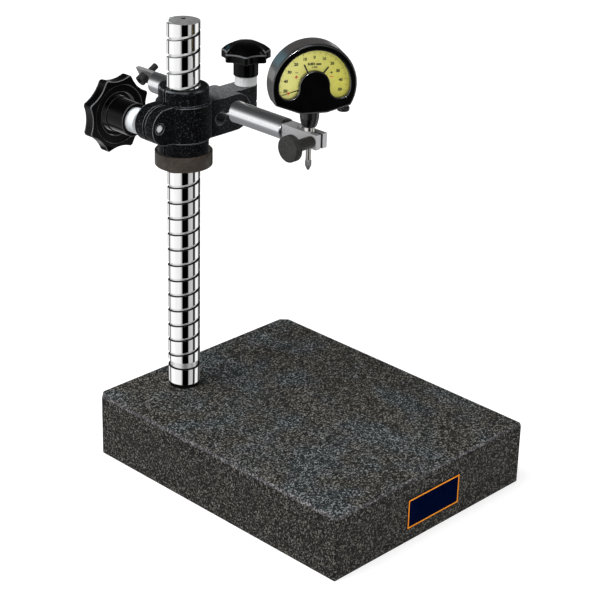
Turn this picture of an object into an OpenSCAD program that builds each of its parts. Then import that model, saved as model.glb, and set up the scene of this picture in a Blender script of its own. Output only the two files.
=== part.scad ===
// Comparator stand: granite table, helically grooved column, lifting nut, clamped carriage,
// sliding arm and a lever-and-gear comparator gauge.
// Millimetres, +Z up, front towards -Y, origin at the centre of the base's underside.

/* [Granite base] */
// Width, left to right
base_width = 200; // [170:5:300]
// Depth, front to back
base_depth = 250; // [220:5:400]
// Height
base_height = 50; // [44:1:80]
// Radius of the top edges
base_edge = 8; // [4:0.5:10]
// Flat cut at the rear right corner
base_corner = 6; // [4:0.5:10]

/* [Column] */
// Diameter
column_diameter = 24; // [22:1:30]
// Top of the column above the granite
column_reach = 286; // [270:1:400]
// Column axis left of the arm axis
column_offset = 40; // [38:1:50]
// Column axis in front of the rear edge
column_setback = 32; // [26:1:60]
// Rise of the groove in one turn
groove_pitch = 12.3; // [11.8:0.1:13]
// Width of the groove
groove_width = 2.7; // [2.2:0.1:3.2]
// Depth of the groove
groove_depth = 1.5; // [1.2:0.1:1.8]

/* [Carriage] */
// Arm axis above the granite
arm_height = 211.7; // [150:0.1:225]
// Wall of the split collars round the column
collar_wall = 6.2; // [5.5:0.1:8]
// Width of the arm socket, front to back
socket_width = 26.8; // [24:0.2:32]
// Arm clamp screw to the right of the arm axis
socket_screw = 21.5; // [20.5:0.5:26]
// Column clamp screw to the left of the column axis
clamp_reach = 31; // [30:0.5:34]
// Width of the saw cuts
split = 2; // [1.5:0.1:2.5]

/* [Knobs] */
// Diameter of the column clamp knob over its lobes
clamp_knob_diameter = 56.3; // [48:0.1:60]
// Diameter of the star knob over its lobes
star_knob_diameter = 37; // [34:0.5:40]
// Diameter of the thumb screw's head
thumb_diameter = 19; // [15:0.5:20]

/* [Arm] */
// Diameter of the bar
arm_diameter = 16; // [15.5:0.5:18]
// Length of the round part
arm_length = 142; // [130:1:180]
// Gauge stem in front of the column axis
arm_reach = 86.5; // [80:0.5:100]
// Side of the square front end
block_size = 10.8; // [10:0.1:10.9]

/* [Gauge] */
// Radius of the housing
gauge_radius = 30.3; // [29.8:0.1:33]
// Depth of the housing, front to back
gauge_depth = 20.5; // [20:0.5:24]
// Turn of the gauge about its stem
gauge_turn = 30; // [0:1:60]
// Diameter of the stem
stem_diameter = 8; // [7.6:0.1:8]
// Diameter of the spindle
spindle_diameter = 4; // [3.6:0.1:4]
// Diameter of the contact tip
tip_diameter = 4.6; // [4:0.1:5]

/* [Hidden] */
eps = 0.01;
// Clearances
slide_fit = 0.08;
arm_fit = 0.04;
hole_fit = 0.1;
turn_fit = 0.05;
seat_fit = 0.2;
air = 0.3;
// Base and column foot
base_vertical_edge = 3;
seat_height = 3;
seat_inset = 0.5;
bolt_r = 6;
bolt_head_r = 9;
bolt_head_h = 12;
bolt_key = 10;
bolt_key_depth = 6;
bolt_grip = 30;
bolt_washer_r = 12;
bolt_washer_h = 2.5;
bolt_sink = 18;
sink_r = bolt_washer_r + 1;
column_x = -column_offset;
column_y = base_depth / 2 - column_setback;
column_r = column_diameter / 2;
column_foot = base_height + seat_height;
column_top = base_height + column_reach;
centre_hole_r = 1.6;
centre_hole_depth = 6;
// Groove of the column
groove_steps = 30;
groove_floor = column_r - groove_depth;
relief_start = 12.7;
relief_height = 5.6;
relief_extra = 0.2;
relief_z = column_foot + relief_start;
groove_start = relief_z + relief_height / 2;
groove_turn = -74.6;
// Carriage, heights from the arm axis
arm_z = base_height + arm_height;
collar_r = column_r + collar_wall;
collar_drop = 25.2;
collar_rise = 25.5;
collar_chamfer = 0.6;
body_r = collar_r + 1.9;
body_low = 13.4;
body_high = 15.3;
body_chamfer = 1.2;
ear_r = 13.5;
ear_x = clamp_reach - 6.6;
ear_z = 1.7;
ear_half = 9.5;
clamp_z = 2.1;
socket_low = 14.2;
socket_high = 13.3;
nose_r = (socket_low + socket_high) / 2;
nose_z = (socket_high - socket_low) / 2;
boss_r = 8.5;
boss_low = 12;
relief_hole_r = 5;
relief_hole_x = arm_diameter / 2 + 8;
relief_hole_z = -1.4;
// Height nut and thrust washer
nut_height = 11;
nut_recess = 4;
nut_gap = 0.9;
nut_lip = 1.9;
nut_chamfer = 0.5;
thrust_height = 1.5;
recess_r = collar_r + nut_gap;
nut_r = recess_r + nut_lip;
nut_z = arm_z - collar_drop - thrust_height - nut_height + nut_recess;
tooth_gap = 0.35;
tooth_first = 1.7;
tooth_rise = nut_height - nut_recess - 2 * tooth_first;
tooth_root = 0.6;
// Column clamp
clamp_stud_r = 4;
clamp_stud_sink = 0.6;
clamp_spacer_r = 9.1;
clamp_spacer_length = 8.6;
clamp_hub_r = 12.2;
clamp_hub_length = 15.6;
clamp_rim = 9.2;
clamp_knob_r = clamp_knob_diameter / 2;
clamp_flute_r = clamp_knob_r * 0.853;
clamp_valley_r = clamp_knob_r * 0.86;
clamp_lobes = 8;
clamp_groove_in = 13.2;
clamp_groove_out = 16;
clamp_groove_depth = 5;
clamp_step_r = 21.5;
clamp_step_depth = 1.2;
clamp_dome = 3;
clamp_dome_r = 120;
hub_cup_depth = 1.2;
hub_cup_gap = 0.7;
stud_in_knob = 18;
// Arm clamp
star_stud_r = 3;
star_spacer_r = 8.25;
star_spacer_height = 7;
star_hub_r = 9.2;
star_hub_height = 12.2;
star_rim = 6;
star_knob_r = star_knob_diameter / 2;
star_flute_r = star_knob_r * 0.8;
star_valley_r = star_knob_r * 0.82;
star_lobes = 7;
star_dome = 7.2;
star_turn = 20;
star_dome_r = (star_knob_r * star_knob_r + star_dome * star_dome) / (2 * star_dome);
star_stud_in = 16;
star_z = arm_z + socket_high + star_spacer_height;
// Arm
arm_r = arm_diameter / 2;
arm_chamfer = 0.8;
stem_y = column_y - arm_reach;
stem_back = 21.5;
stem_front = 12.4;
block_back = stem_y + stem_back;
block_front = stem_y - stem_front;
arm_rear = block_back + arm_length;
block_hole_r = 2;
block_hole_back = 10;
arm_rear_chamfer = 1.5;
tongue_length = 19.5;
tongue_r = arm_r - 0.1;
tongue_flat = 2;
tongue_turn = 29;
stop_screw_y = 13;
stop_screw_r = 2.5;
stop_screw_length = 13;
stop_head_r = 4.25;
stop_head_h = 5.5;
stop_key = 4;
stop_key_depth = 2.8;
// Thumb screw
thumb_r = thumb_diameter / 2;
thumb_head = 6;
thumb_neck = 18.1;
thumb_neck_r = 4.25;
thumb_shank_r = 2;
thumb_forward = 7.8;
thumb_chamfer = 0.6;
// Gauge, in its own frame: x right, y up, z to the viewer, origin on the pointer axis over the stem
stem_r = stem_diameter / 2;
spindle_r = spindle_diameter / 2;
tip_r = tip_diameter / 2;
collar_gap = 2.9;
neck_height = 12.9;
neck_r = 6.8;
neck_low_r = 4.9;
neck_round = 6.5;
neck_mid_r = (neck_low_r + 2 * neck_r) / 3;
flat_drop = gauge_radius - 10.6;
flat_half = 9.3;
left_slope = 0.39;
right_slope = 0.27;
gauge_axis_z = arm_z + block_size / 2 + collar_gap + neck_height + flat_drop;
stem_to_back = 8.5;
face_z = gauge_depth - stem_to_back;
back_z = -stem_to_back;
wall = 2;
cover_height = 1.4;
cover_round = 1.2;
back_height = 1.5;
back_inset = 0.5;
lip_height = 2;
lip_width = 4.3;
step_width = 3.3;
step_z = back_z + 4.5;
step_wall = 1.5;
back_r = gauge_radius - step_width;
cavity_r = gauge_radius - wall;
movement_r = back_r - wall;
cover_z = face_z - cover_height;
shell_z = back_z + back_height;
lip_z = shell_z + lip_height;
wide = 2 * gauge_radius;
window_outer = gauge_radius - 5;
window_inner = 11.1;
lobe_r = (window_outer - window_inner) / 2;
lobe_x = (window_outer + window_inner) / 2;
lobe_drop = 1.7;
window_turn = -1.6;
pane_height = 0.8;
pane_z = cover_z - pane_height;
dial_height = 0.8;
dial_z = pane_z - 3.4;
plate_height = 1;
plate_z = lip_z;
plate_top = plate_z + plate_height;
// Hands
bush_r = 2.2;
bush_height = 1.3;
hand_height = 0.25;
hand_gap = 0.3;
hand_hub_r = 3.6;
hand_width = 1;
hand_reach = 16.2;
low_hand_angle = -25;
high_hand_angle = 40;
low_hand_z = dial_z + dial_height + hand_gap;
high_hand_z = low_hand_z + hand_height + hand_gap;
pointer_gap = 0.2;
pointer_z = dial_z + dial_height + bush_height + pointer_gap;
pointer_height = 0.3;
pointer_reach = 23.7;
pointer_tail = 5;
pointer_root = 0.9;
pointer_point = 0.3;
pointer_hub_r = 2;
pointer_angle = -105;
arbor_r = 0.8;
arbor_front = pointer_z + pointer_height + 0.3;
// Gear movement
gear_module = 0.4;
pinion_teeth = 12;
sector_teeth = 66;
sector_span = 10;
gear_pressure = 20;
gear_addendum = 0.8;
gear_dedendum = 1.35;
gear_thin = 0.075;
pinion_pitch_r = gear_module * pinion_teeth / 2;
sector_pitch_r = gear_module * sector_teeth / 2;
gear_distance = pinion_pitch_r + sector_pitch_r;
lever_arm = 4.5;
spindle_lift = 3;
lever_swing = spindle_lift / lever_arm * 180 / PI;
pivot_x = -lever_arm;
pivot_y = -sqrt(gear_distance * gear_distance - lever_arm * lever_arm);
line_angle = atan2(-pivot_y, -pivot_x);
lever_rod_r = 0.7;
lever_hub_r = 1.8;
pivot_r = 1;
sector_z = plate_top + 2.6;
sector_height = 1.6;
lever_hub_low = plate_top + air;
lever_hub_high = sector_z + sector_height + 0.5;
pinion_over = 0.2;
pivot_high = lever_hub_high + 0.8;
contact_gap = 0.12;
contact_y = pivot_y - lever_arm * sin(lever_swing / 2) - 2 * lever_rod_r - contact_gap;
rod_low = sector_z;
rod_high = 1.2;
// Hairspring
spiral_z = sector_z + sector_height + 1.4;
spiral_height = 0.7;
spiral_r = 1.7;
spiral_step = 0.95;
spiral_turns = 4;
spiral_strip = 0.25;
spiral_points = 24;
stud_r = 0.6;
// Dial pillars
pillar_r = 1.3;
pillar_x = 19.5;
pillar_y = 6;
// Stem and spindle, world heights
stem_low = arm_z - block_size / 2 + 0.6;
shell_low = gauge_axis_z - flat_drop;
stem_top = shell_low + wall;
guide_height = 5.5;
bore_wide = stem_r - 0.9;
bush_low = stem_top - 9;
spindle_top = shell_low - 3;
spindle_stub = 0.7;
spindle_low = stem_low - 11.9;
flange_r = bore_wide - 0.25;
flange_height = 1;
flange_z = stem_low + guide_height + 2;
tip_length = 7.8;
tip_ball = 1.3;
tip_waist = 3.2;
tip_stud_r = 1.2;
tip_stud_length = 4;
// Spring of the spindle
spring_curls = 9;
spring_rings = 8;
spring_sides = 6;
spring_wire = 0.22;
spring_r = (flange_r + spindle_r) / 2 + 0.02;
spring_low = flange_z + flange_height + spring_wire;
spring_high = bush_low - spring_wire;
// Zero adjuster
zero_x = 23.3;
zero_z = 4;
zero_shaft_r = 1.5;
zero_r = 4.4;
zero_height = 3;
zero_gap = 2.44;
zero_y = -flat_drop + right_slope * (zero_x - flat_half) - zero_gap;
zero_in = 8;
// Back cover screws
back_screw_r = 0.8;
back_head_r = 1.7;
back_head_h = 0.9;
back_screw_in = 3.2;
back_screw_ring = back_r - 3.2;
back_screw_angles = [30, 150, 210, 330];

granite_base();
column_seat_ring();
column();
column_bolt();
column_bolt_washer();
thrust_washer();
height_nut();
carriage_body();
column_clamp_spacer();
column_clamp_knob();
column_clamp_stud();
arm_clamp_spacer();
arm_clamp_knob();
arm_clamp_stud();
arm_bar();
gauge_clamp_screw();
arm_stop_screw();
gauge_housing();
gauge_front_cover();
gauge_window();
gauge_back_cover();
back_cover_screws();
dial_plate();
dial_pillars();
hand_bush();
low_limit_hand();
high_limit_hand();
pointer();
pointer_arbor();
hairspring();
sector_lever();
sector_pivot();
movement_plate();
stem_collar();
gauge_stem();
stem_bush();
measuring_spindle();
measuring_spring();
contact_tip();
zero_adjust_knob();

// Frames
module at_column() translate([column_x, column_y, 0]) children();
module at_carriage() translate([column_x, column_y, arm_z]) children();
module at_stem() translate([0, stem_y, 0]) children();
module in_gauge() translate([0, stem_y, gauge_axis_z]) rotate([0, 0, -gauge_turn]) rotate([90, 0, 0]) children();
module along_y() rotate([-90, 0, 0]) children();
module along_x() rotate([0, 90, 0]) children();

// Shared shapes
module tube(h, outer, inner) {
    difference() {
        cylinder(h = h, r = outer);
        translate([0, 0, -1]) cylinder(h = h + 2, r = inner);
    }
}

// Disc with both rims bevelled
module disc(h, r, c) {
    rotate_extrude() polygon([[0, 0], [r - c, 0], [r, c], [r, h - c], [r - c, h], [0, h]]);
}

// What a rounded edge along X leaves out, for an edge at the origin with material behind and below
module edge_cut(length, r) {
    difference() {
        translate([-1, -1, -r]) cube([length + 2, r + 1, r + 1]);
        translate([-2, r, -r]) along_x() cylinder(h = length + 4, r = r);
    }
}

// Disc with shallow hollows round its rim
module lobed_disc(h, tip_r, valley_r, flute_r, lobes, turn) {
    difference() {
        cylinder(h = h, r = tip_r);
        for (k = [0:lobes - 1])
            rotate([0, 0, turn + (k + 0.5) * 360 / lobes])
                translate([valley_r + flute_r, 0, -1]) cylinder(h = h + 2, r = flute_r);
    }
}

function spot(r, a, z) = [r * cos(a), r * sin(a), z];
function strip(a, b, c, d) = [[a, b, c], [a, c, d]];
function fan(list) = [for (k = [1:len(list) - 2]) [list[0], list[k], list[k + 1]]];

// Base
module granite_base() {
    color("#3c3e42")
    difference() {
        translate([-base_width / 2, -base_depth / 2, 0]) cube([base_width, base_depth, base_height]);
        for (s = [0, 180]) rotate([0, 0, s])
            translate([-base_width / 2, -base_depth / 2, base_height]) edge_cut(base_width, base_edge);
        for (s = [90, 270]) rotate([0, 0, s])
            translate([-base_depth / 2, -base_width / 2, base_height]) edge_cut(base_depth, base_edge);
        corner_cut(-1, -1, base_vertical_edge);
        corner_cut(1, -1, base_vertical_edge);
        corner_cut(-1, 1, base_vertical_edge);
        corner_cut(1, 1, base_corner);
        at_column() translate([0, 0, -1]) cylinder(h = base_height + 2, r = bolt_r + hole_fit);
        at_column() translate([0, 0, -1]) cylinder(h = bolt_sink + 1, r = sink_r);
    }
}

// Flat on one upright corner
module corner_cut(sx, sy, size) {
    translate([sx * base_width / 2, sy * base_depth / 2, base_height / 2])
        rotate([0, 0, 45]) cube([size * sqrt(2), size * sqrt(2), base_height + 2], center = true);
}

module column_seat_ring() {
    color("#1c1c1e") at_column() translate([0, 0, base_height])
        tube(seat_height, column_r - seat_inset, bolt_r + hole_fit);
}

// Round bar with one helical groove, closed by flat ends
module grooved_bar(z_low, z_high) {
    steps = groove_steps;
    n = ceil((z_high + groove_width - groove_start) / groove_pitch * steps);
    z_end = groove_start + groove_pitch * n / steps + groove_width;
    low = [for (j = [0:steps - 1]) spot(column_r, groove_turn + j * 360 / steps, z_low)];
    high = [for (j = [0:steps - 1]) spot(column_r, groove_turn + j * 360 / steps, z_end)];
    edge = [for (i = [0:n])
        let (a = groove_turn + i * 360 / steps, z = groove_start + groove_pitch * i / steps)
        each [
            spot(column_r, a, z - groove_width / 2),
            spot(groove_floor, a, z - groove_width / 2),
            spot(groove_floor, a, z + groove_width / 2),
            spot(column_r, a, z + groove_width / 2)
        ]];
    function e(j) = j % steps;
    function g(i, k) = steps + 4 * i + k;
    function f(j) = steps + 4 * (n + 1) + j % steps;
    faces = concat(
        [for (i = [0:n - 1]) for (k = [0:2])
            each strip(g(i, k + 1), g(i + 1, k + 1), g(i + 1, k), g(i, k))],
        [for (i = [0:n - steps - 1])
            each strip(g(i + steps, 0), g(i + steps + 1, 0), g(i + 1, 3), g(i, 3))],
        [for (i = [0:steps - 2]) each strip(g(i, 0), g(i + 1, 0), e(i + 1), e(i))],
        fan([g(steps - 1, 0), g(steps, 0), g(0, 3), g(0, 0), e(0), e(steps - 1)]),
        fan([g(0, 0), g(0, 3), g(0, 2), g(0, 1)]),
        [for (i = [n - steps + 1:n - 1]) each strip(f(i), f(i + 1), g(i + 1, 3), g(i, 3))],
        fan([g(n - steps + 1, 3), g(n - steps, 3), g(n, 0), g(n, 3), f(n), f(n + 1)]),
        fan([g(n, 3), g(n, 0), g(n, 1), g(n, 2)]),
        fan([for (j = [steps:-1:1]) f(j)]),
        fan([for (j = [0:steps - 1]) e(j)])
    );
    polyhedron(concat(low, edge, high), faces);
}

module column() {
    color("#d9dcdf") at_column()
    difference() {
        grooved_bar(column_foot, column_top);
        translate([0, 0, relief_z]) tube(relief_height, column_r + 1, groove_floor - relief_extra);
        translate([-column_diameter, -column_diameter, column_top])
            cube([2 * column_diameter, 2 * column_diameter, 2 * groove_pitch]);
        translate([0, 0, column_top - centre_hole_depth]) cylinder(h = 2 * centre_hole_depth, r = centre_hole_r);
        translate([0, 0, column_foot - 1]) cylinder(h = bolt_grip + 2, r = bolt_r + turn_fit);
    }
}

module column_bolt() {
    color("#3a3b3d") at_column()
    difference() {
        union() {
            translate([0, 0, bolt_sink - bolt_washer_h - bolt_head_h]) cylinder(h = bolt_head_h, r = bolt_head_r);
            translate([0, 0, bolt_sink - bolt_washer_h - eps])
                cylinder(h = column_foot + bolt_grip - bolt_sink + bolt_washer_h, r = bolt_r);
        }
        translate([0, 0, bolt_sink - bolt_washer_h - bolt_head_h - 1])
            cylinder(h = bolt_key_depth + 1, r = bolt_key / sqrt(3), $fn = 6);
    }
}

module column_bolt_washer() {
    color("#a9adb0") at_column() translate([0, 0, bolt_sink - bolt_washer_h])
        tube(bolt_washer_h, bolt_washer_r, bolt_r + hole_fit);
}

// Height adjustment
module thrust_washer() {
    color("#b08d57") at_column() translate([0, 0, nut_z + nut_height - nut_recess])
        tube(thrust_height, recess_r - seat_fit, column_r + 2 * hole_fit);
}

// Part of a turn of a band that follows the column's groove
module groove_tooth(inner, outer, width, z_from, z_rise) {
    steps = groove_steps;
    first = ceil((z_from - groove_start) / groove_pitch * steps);
    count = floor(z_rise / groove_pitch * steps);
    points = [for (i = [first:first + count])
        let (a = groove_turn + i * 360 / steps, z = groove_start + groove_pitch * i / steps)
        each [spot(inner, a, z - width / 2), spot(outer, a, z - width / 2),
            spot(outer, a, z + width / 2), spot(inner, a, z + width / 2)]];
    sides = [for (i = [0:count - 1]) for (k = [0:3])
        let (a = 4 * i + k, b = 4 * i + (k + 1) % 4)
        each [[a, b, a + 4], [b, b + 4, a + 4]]];
    last = 4 * count;
    polyhedron(points, concat(sides, fan([3, 2, 1, 0]), fan([last, last + 1, last + 2, last + 3])));
}

module height_nut() {
    bore = column_r + 2 * hole_fit;
    color("#4a443f") at_column()
    union() {
        translate([0, 0, nut_z])
        difference() {
            disc(nut_height, nut_r, nut_chamfer);
            translate([0, 0, -1]) cylinder(h = nut_height + 2, r = bore);
            translate([0, 0, nut_height - nut_recess]) cylinder(h = nut_recess + 1, r = recess_r);
        }
        groove_tooth(groove_floor + tooth_gap, bore + tooth_root, groove_width - 2 * tooth_gap,
            nut_z + tooth_first, tooth_rise);
    }
}

// Carriage
module carriage_body() {
    height = collar_drop + collar_rise;
    bore = column_r + slide_fit;
    arm_x = column_offset;
    color("#2f3236") at_carriage()
    difference() {
        union() {
            translate([0, 0, -collar_drop]) disc(height, collar_r, collar_chamfer);
            translate([0, 0, -body_low]) disc(body_low + body_high, body_r, body_chamfer);
            translate([-ear_x, -ear_half, ear_z]) along_y() cylinder(h = 2 * ear_half, r = ear_r);
            translate([-ear_x, -ear_half, ear_z - ear_r]) cube([ear_x, 2 * ear_half, 2 * ear_r]);
            translate([0, -socket_width / 2, -socket_low]) cube([arm_x, socket_width, socket_low + socket_high]);
            translate([arm_x, -socket_width / 2, nose_z]) along_y() cylinder(h = socket_width, r = nose_r);
            translate([arm_x, -boss_r, -boss_low]) cube([socket_screw, 2 * boss_r, boss_low + socket_high]);
            translate([arm_x + socket_screw, 0, -boss_low]) cylinder(h = boss_low + socket_high, r = boss_r);
        }
        translate([0, 0, -collar_drop - 1]) cylinder(h = height + 2, r = bore);
        translate([-ear_x - ear_r - 1, -split / 2, -collar_drop - 1])
            cube([ear_x + ear_r + 1, split, height + 2]);
        translate([-clamp_reach, -ear_half - 1, clamp_z]) along_y()
            cylinder(h = 2 * ear_half + 2, r = clamp_stud_r + hole_fit);
        translate([arm_x, -socket_width / 2 - 1, 0]) along_y() cylinder(h = socket_width + 2, r = arm_r + arm_fit);
        translate([arm_x - relief_hole_x, -socket_width / 2 - 1, relief_hole_z]) along_y()
            cylinder(h = socket_width + 2, r = relief_hole_r);
        translate([arm_x - relief_hole_x, -socket_width / 2 - 1, -split / 2])
            cube([relief_hole_x + socket_screw + boss_r + 1, socket_width + 2, split]);
        translate([arm_x + socket_screw, 0, -boss_low - 1])
            cylinder(h = boss_low + socket_high + 2, r = star_stud_r + hole_fit);
    }
}

// Column clamp: frame on the clamp screw's axis, +Z to the rear, origin on the rear ear
module at_column_clamp() {
    at_carriage() translate([-clamp_reach, ear_half, clamp_z]) along_y() children();
}

module column_clamp_spacer() {
    color("#f2f2ef") at_column_clamp() tube(clamp_spacer_length, clamp_spacer_r, clamp_stud_r + hole_fit);
}

module column_clamp_knob() {
    rim_z = clamp_spacer_length + clamp_hub_length;
    color("#141416") at_column_clamp()
    difference() {
        union() {
            translate([0, 0, clamp_spacer_length - hub_cup_depth])
                tube(hub_cup_depth + eps, clamp_hub_r, clamp_spacer_r + hub_cup_gap);
            translate([0, 0, clamp_spacer_length]) cylinder(h = clamp_hub_length + clamp_groove_depth, r = clamp_hub_r);
            intersection() {
                translate([0, 0, rim_z])
                    lobed_disc(clamp_rim + clamp_dome, clamp_knob_r, clamp_valley_r, clamp_flute_r, clamp_lobes, 22.5);
                translate([0, 0, rim_z + clamp_rim + clamp_dome - clamp_dome_r]) sphere(r = clamp_dome_r);
            }
        }
        translate([0, 0, rim_z - 1]) tube(clamp_groove_depth + 1, clamp_groove_out, clamp_groove_in);
        translate([0, 0, rim_z - 1]) tube(clamp_step_depth + 1, clamp_step_r, clamp_groove_in);
        translate([0, 0, clamp_spacer_length - 1]) cylinder(h = stud_in_knob + 1, r = clamp_stud_r + eps);
    }
}

module column_clamp_stud() {
    length = 2 * ear_half + clamp_spacer_length + stud_in_knob - clamp_stud_sink - eps;
    color("#c7cacc") at_column_clamp()
        translate([0, 0, clamp_stud_sink - 2 * ear_half]) disc(length, clamp_stud_r, clamp_stud_sink);
}

// Arm clamp
module at_arm_clamp() translate([socket_screw, column_y, 0]) children();

module arm_clamp_spacer() {
    color("#f2f2ef") at_arm_clamp() translate([0, 0, arm_z + socket_high])
        tube(star_spacer_height, star_spacer_r, star_stud_r + hole_fit);
}

module arm_clamp_knob() {
    rim_z = star_z + star_hub_height;
    color("#141416") at_arm_clamp()
    difference() {
        union() {
            translate([0, 0, star_z]) cylinder(h = star_hub_height + 1, r = star_hub_r);
            intersection() {
                translate([0, 0, rim_z])
                    lobed_disc(star_rim + star_dome, star_knob_r, star_valley_r, star_flute_r, star_lobes, star_turn);
                translate([0, 0, rim_z + star_rim + star_dome - star_dome_r]) sphere(r = star_dome_r);
            }
        }
        translate([0, 0, star_z - 1]) cylinder(h = star_stud_in + 1, r = star_stud_r + eps);
    }
}

module arm_clamp_stud() {
    low = arm_z - boss_low + clamp_stud_sink;
    color("#c7cacc") at_arm_clamp() translate([0, 0, low])
        disc(star_z + star_stud_in - eps - low, star_stud_r, clamp_stud_sink);
}

// Arm
module at_tongue() translate([0, arm_rear, arm_z]) rotate([0, -tongue_turn, 0]) children();

module arm_bar() {
    half = block_size / 2;
    c = arm_chamfer;
    rear = arm_length - arm_rear_chamfer;
    color("#b9bcbf")
    difference() {
        union() {
            translate([0, block_back, arm_z]) along_y() rotate_extrude() polygon([[0, 0], [arm_r - c, 0], [arm_r, c],
                [arm_r, rear], [arm_r - arm_rear_chamfer, arm_length], [0, arm_length]]);
            translate([-half, block_front, arm_z - half]) cube([block_size, block_back - block_front + 1, block_size]);
            at_tongue()
            intersection() {
                translate([0, -arm_rear_chamfer, 0]) along_y() cylinder(h = tongue_length + arm_rear_chamfer, r = tongue_r);
                translate([tongue_flat, -arm_rear_chamfer - 1, -arm_r])
                    cube([arm_diameter, tongue_length + arm_rear_chamfer + 2, arm_diameter]);
            }
        }
        at_stem() translate([0, 0, arm_z - block_size]) cylinder(h = 2 * block_size, r = stem_r + turn_fit);
        translate([0, stem_y + block_hole_back, arm_z - block_size]) cylinder(h = 2 * block_size, r = block_hole_r);
        translate([-split / 2, block_front - 1, arm_z - block_size])
            cube([split, block_hole_back + stem_front + 1, 2 * block_size]);
        translate([-block_size, stem_y - thumb_forward, arm_z]) along_x()
            cylinder(h = 2 * block_size, r = thumb_shank_r + hole_fit);
        at_tongue() translate([0, stop_screw_y, 0]) along_x() cylinder(h = arm_diameter, r = stop_screw_r + hole_fit);
    }
}

module gauge_clamp_screw() {
    half = block_size / 2;
    color("#1b1b1d") translate([-half, stem_y - thumb_forward, arm_z]) along_x()
    union() {
        translate([0, 0, -thumb_neck - thumb_head]) disc(thumb_head, thumb_r, thumb_chamfer);
        translate([0, 0, -thumb_neck - eps]) cylinder(h = thumb_neck + eps, r = thumb_neck_r);
        translate([0, 0, -eps]) cylinder(h = block_size + eps, r = thumb_shank_r);
    }
}

// Screw across the flat at the rear, which keeps the bar from being drawn out of its socket
module arm_stop_screw() {
    color("#1b1b1d") at_tongue() translate([tongue_flat, stop_screw_y, 0]) along_x()
    difference() {
        union() {
            translate([0, 0, -stop_head_h]) cylinder(h = stop_head_h, r = stop_head_r);
            translate([0, 0, -eps]) cylinder(h = stop_screw_length + eps, r = stop_screw_r);
        }
        translate([0, 0, -stop_head_h - 1]) cylinder(h = stop_key_depth + 1, r = stop_key / sqrt(3), $fn = 6);
    }
}

// Gauge shell
// Everything above the bevelled underside of the gauge, shrunk inwards by inset
module gauge_outline(z_low, height, inset) {
    low = -flat_drop + inset;
    left = low + left_slope * (wide - flat_half);
    right = low + right_slope * (wide - flat_half);
    translate([0, 0, z_low]) linear_extrude(height = height)
        polygon([[-wide, wide], [-wide, left], [-flat_half, low], [flat_half, low], [wide, right], [wide, wide]]);
}

// Disc cut by the gauge's underside
module gauge_disc(z_low, height, r, inset) {
    intersection() {
        translate([0, 0, z_low]) cylinder(h = height, r = r);
        gauge_outline(z_low - 1, height + 2, inset);
    }
}

module gauge_housing() {
    color("#17181a") in_gauge()
    difference() {
        union() {
            gauge_disc(step_z, cover_z - step_z, gauge_radius, 0);
            gauge_disc(shell_z, step_z - shell_z + eps, back_r, 0);
        }
        gauge_disc(step_z + step_wall, cover_z - step_z, cavity_r, wall);
        gauge_disc(lip_z, cover_z - lip_z, movement_r, wall);
        gauge_disc(shell_z - 1, lip_height + 2, movement_r - lip_width, wall + lip_width);
        translate([0, -flat_drop - 1, 0]) along_y_up() cylinder(h = wall + 2, r = stem_r + turn_fit);
        translate([zero_x, -gauge_radius, zero_z]) along_y_up() cylinder(h = gauge_radius, r = zero_shaft_r + turn_fit);
        for (a = back_screw_angles) rotate([0, 0, a])
            translate([back_screw_ring, 0, shell_z - 1]) cylinder(h = back_screw_in, r = back_screw_r + turn_fit);
    }
}

// Turns +Z to +Y, which is up in the gauge's own frame
module along_y_up() rotate([-90, 0, 0]) children();

module horseshoe(z_low, height) {
    difference() {
        union() {
            intersection() {
                translate([0, 0, z_low]) cylinder(h = height, r = window_outer);
                translate([-wide, -lobe_drop, z_low - 1]) cube([2 * wide, wide, height + 2]);
            }
            for (s = [-1, 1]) translate([s * lobe_x, -lobe_drop, z_low]) cylinder(h = height, r = lobe_r);
        }
        translate([0, 0, z_low - 1]) cylinder(h = height + 2, r = window_inner);
        translate([-window_inner, -gauge_radius, z_low - 1]) cube([2 * window_inner, gauge_radius, height + 2]);
    }
}

module gauge_front_cover() {
    color("#17181a") in_gauge()
    difference() {
        intersection() {
            translate([0, 0, cover_z]) rotate_extrude()
                union() {
                    square([gauge_radius - cover_round, cover_height]);
                    square([gauge_radius, cover_height - cover_round]);
                    translate([gauge_radius - cover_round, cover_height - cover_round]) circle(r = cover_round);
                }
            gauge_outline(cover_z - 1, cover_height + 2, 0);
            translate([-wide, -wide, cover_z]) cube([2 * wide, 2 * wide, cover_height]);
        }
        rotate([0, 0, window_turn]) horseshoe(cover_z - 1, cover_height + 2);
    }
}

module gauge_window() {
    color("#dfe8ea", 0.4) in_gauge() gauge_disc(pane_z, pane_height, cavity_r - seat_fit, wall + seat_fit);
}

module gauge_back_cover() {
    color("#17181a") in_gauge()
    difference() {
        gauge_disc(back_z, back_height, back_r - back_inset, back_inset);
        for (a = back_screw_angles) rotate([0, 0, a])
            translate([back_screw_ring, 0, back_z - 1]) cylinder(h = back_height + 2, r = back_screw_r + turn_fit);
    }
}

module back_cover_screws() {
    color("#8d9093") in_gauge()
    for (a = back_screw_angles) rotate([0, 0, a]) translate([back_screw_ring, 0, 0])
        difference() {
            union() {
                translate([0, 0, back_z - back_head_h]) cylinder(h = back_head_h, r = back_head_r);
                translate([0, 0, back_z - eps]) cylinder(h = back_screw_in, r = back_screw_r);
            }
            translate([-back_head_r - 1, -0.2, back_z - back_head_h - 1]) cube([2 * back_head_r + 2, 0.4, 1.4]);
        }
}

// Dial and hands
module dial_plate() {
    color("#e8e28a") in_gauge()
    difference() {
        gauge_disc(dial_z, dial_height, cavity_r - seat_fit, wall + seat_fit);
        translate([0, 0, dial_z - 1]) cylinder(h = dial_height + 2, r = arbor_r + hole_fit);
    }
}

module dial_pillars() {
    color("#b08d57") in_gauge()
    for (s = [-1, 1]) translate([s * pillar_x, pillar_y, plate_top]) cylinder(h = dial_z - plate_top, r = pillar_r);
}

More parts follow.
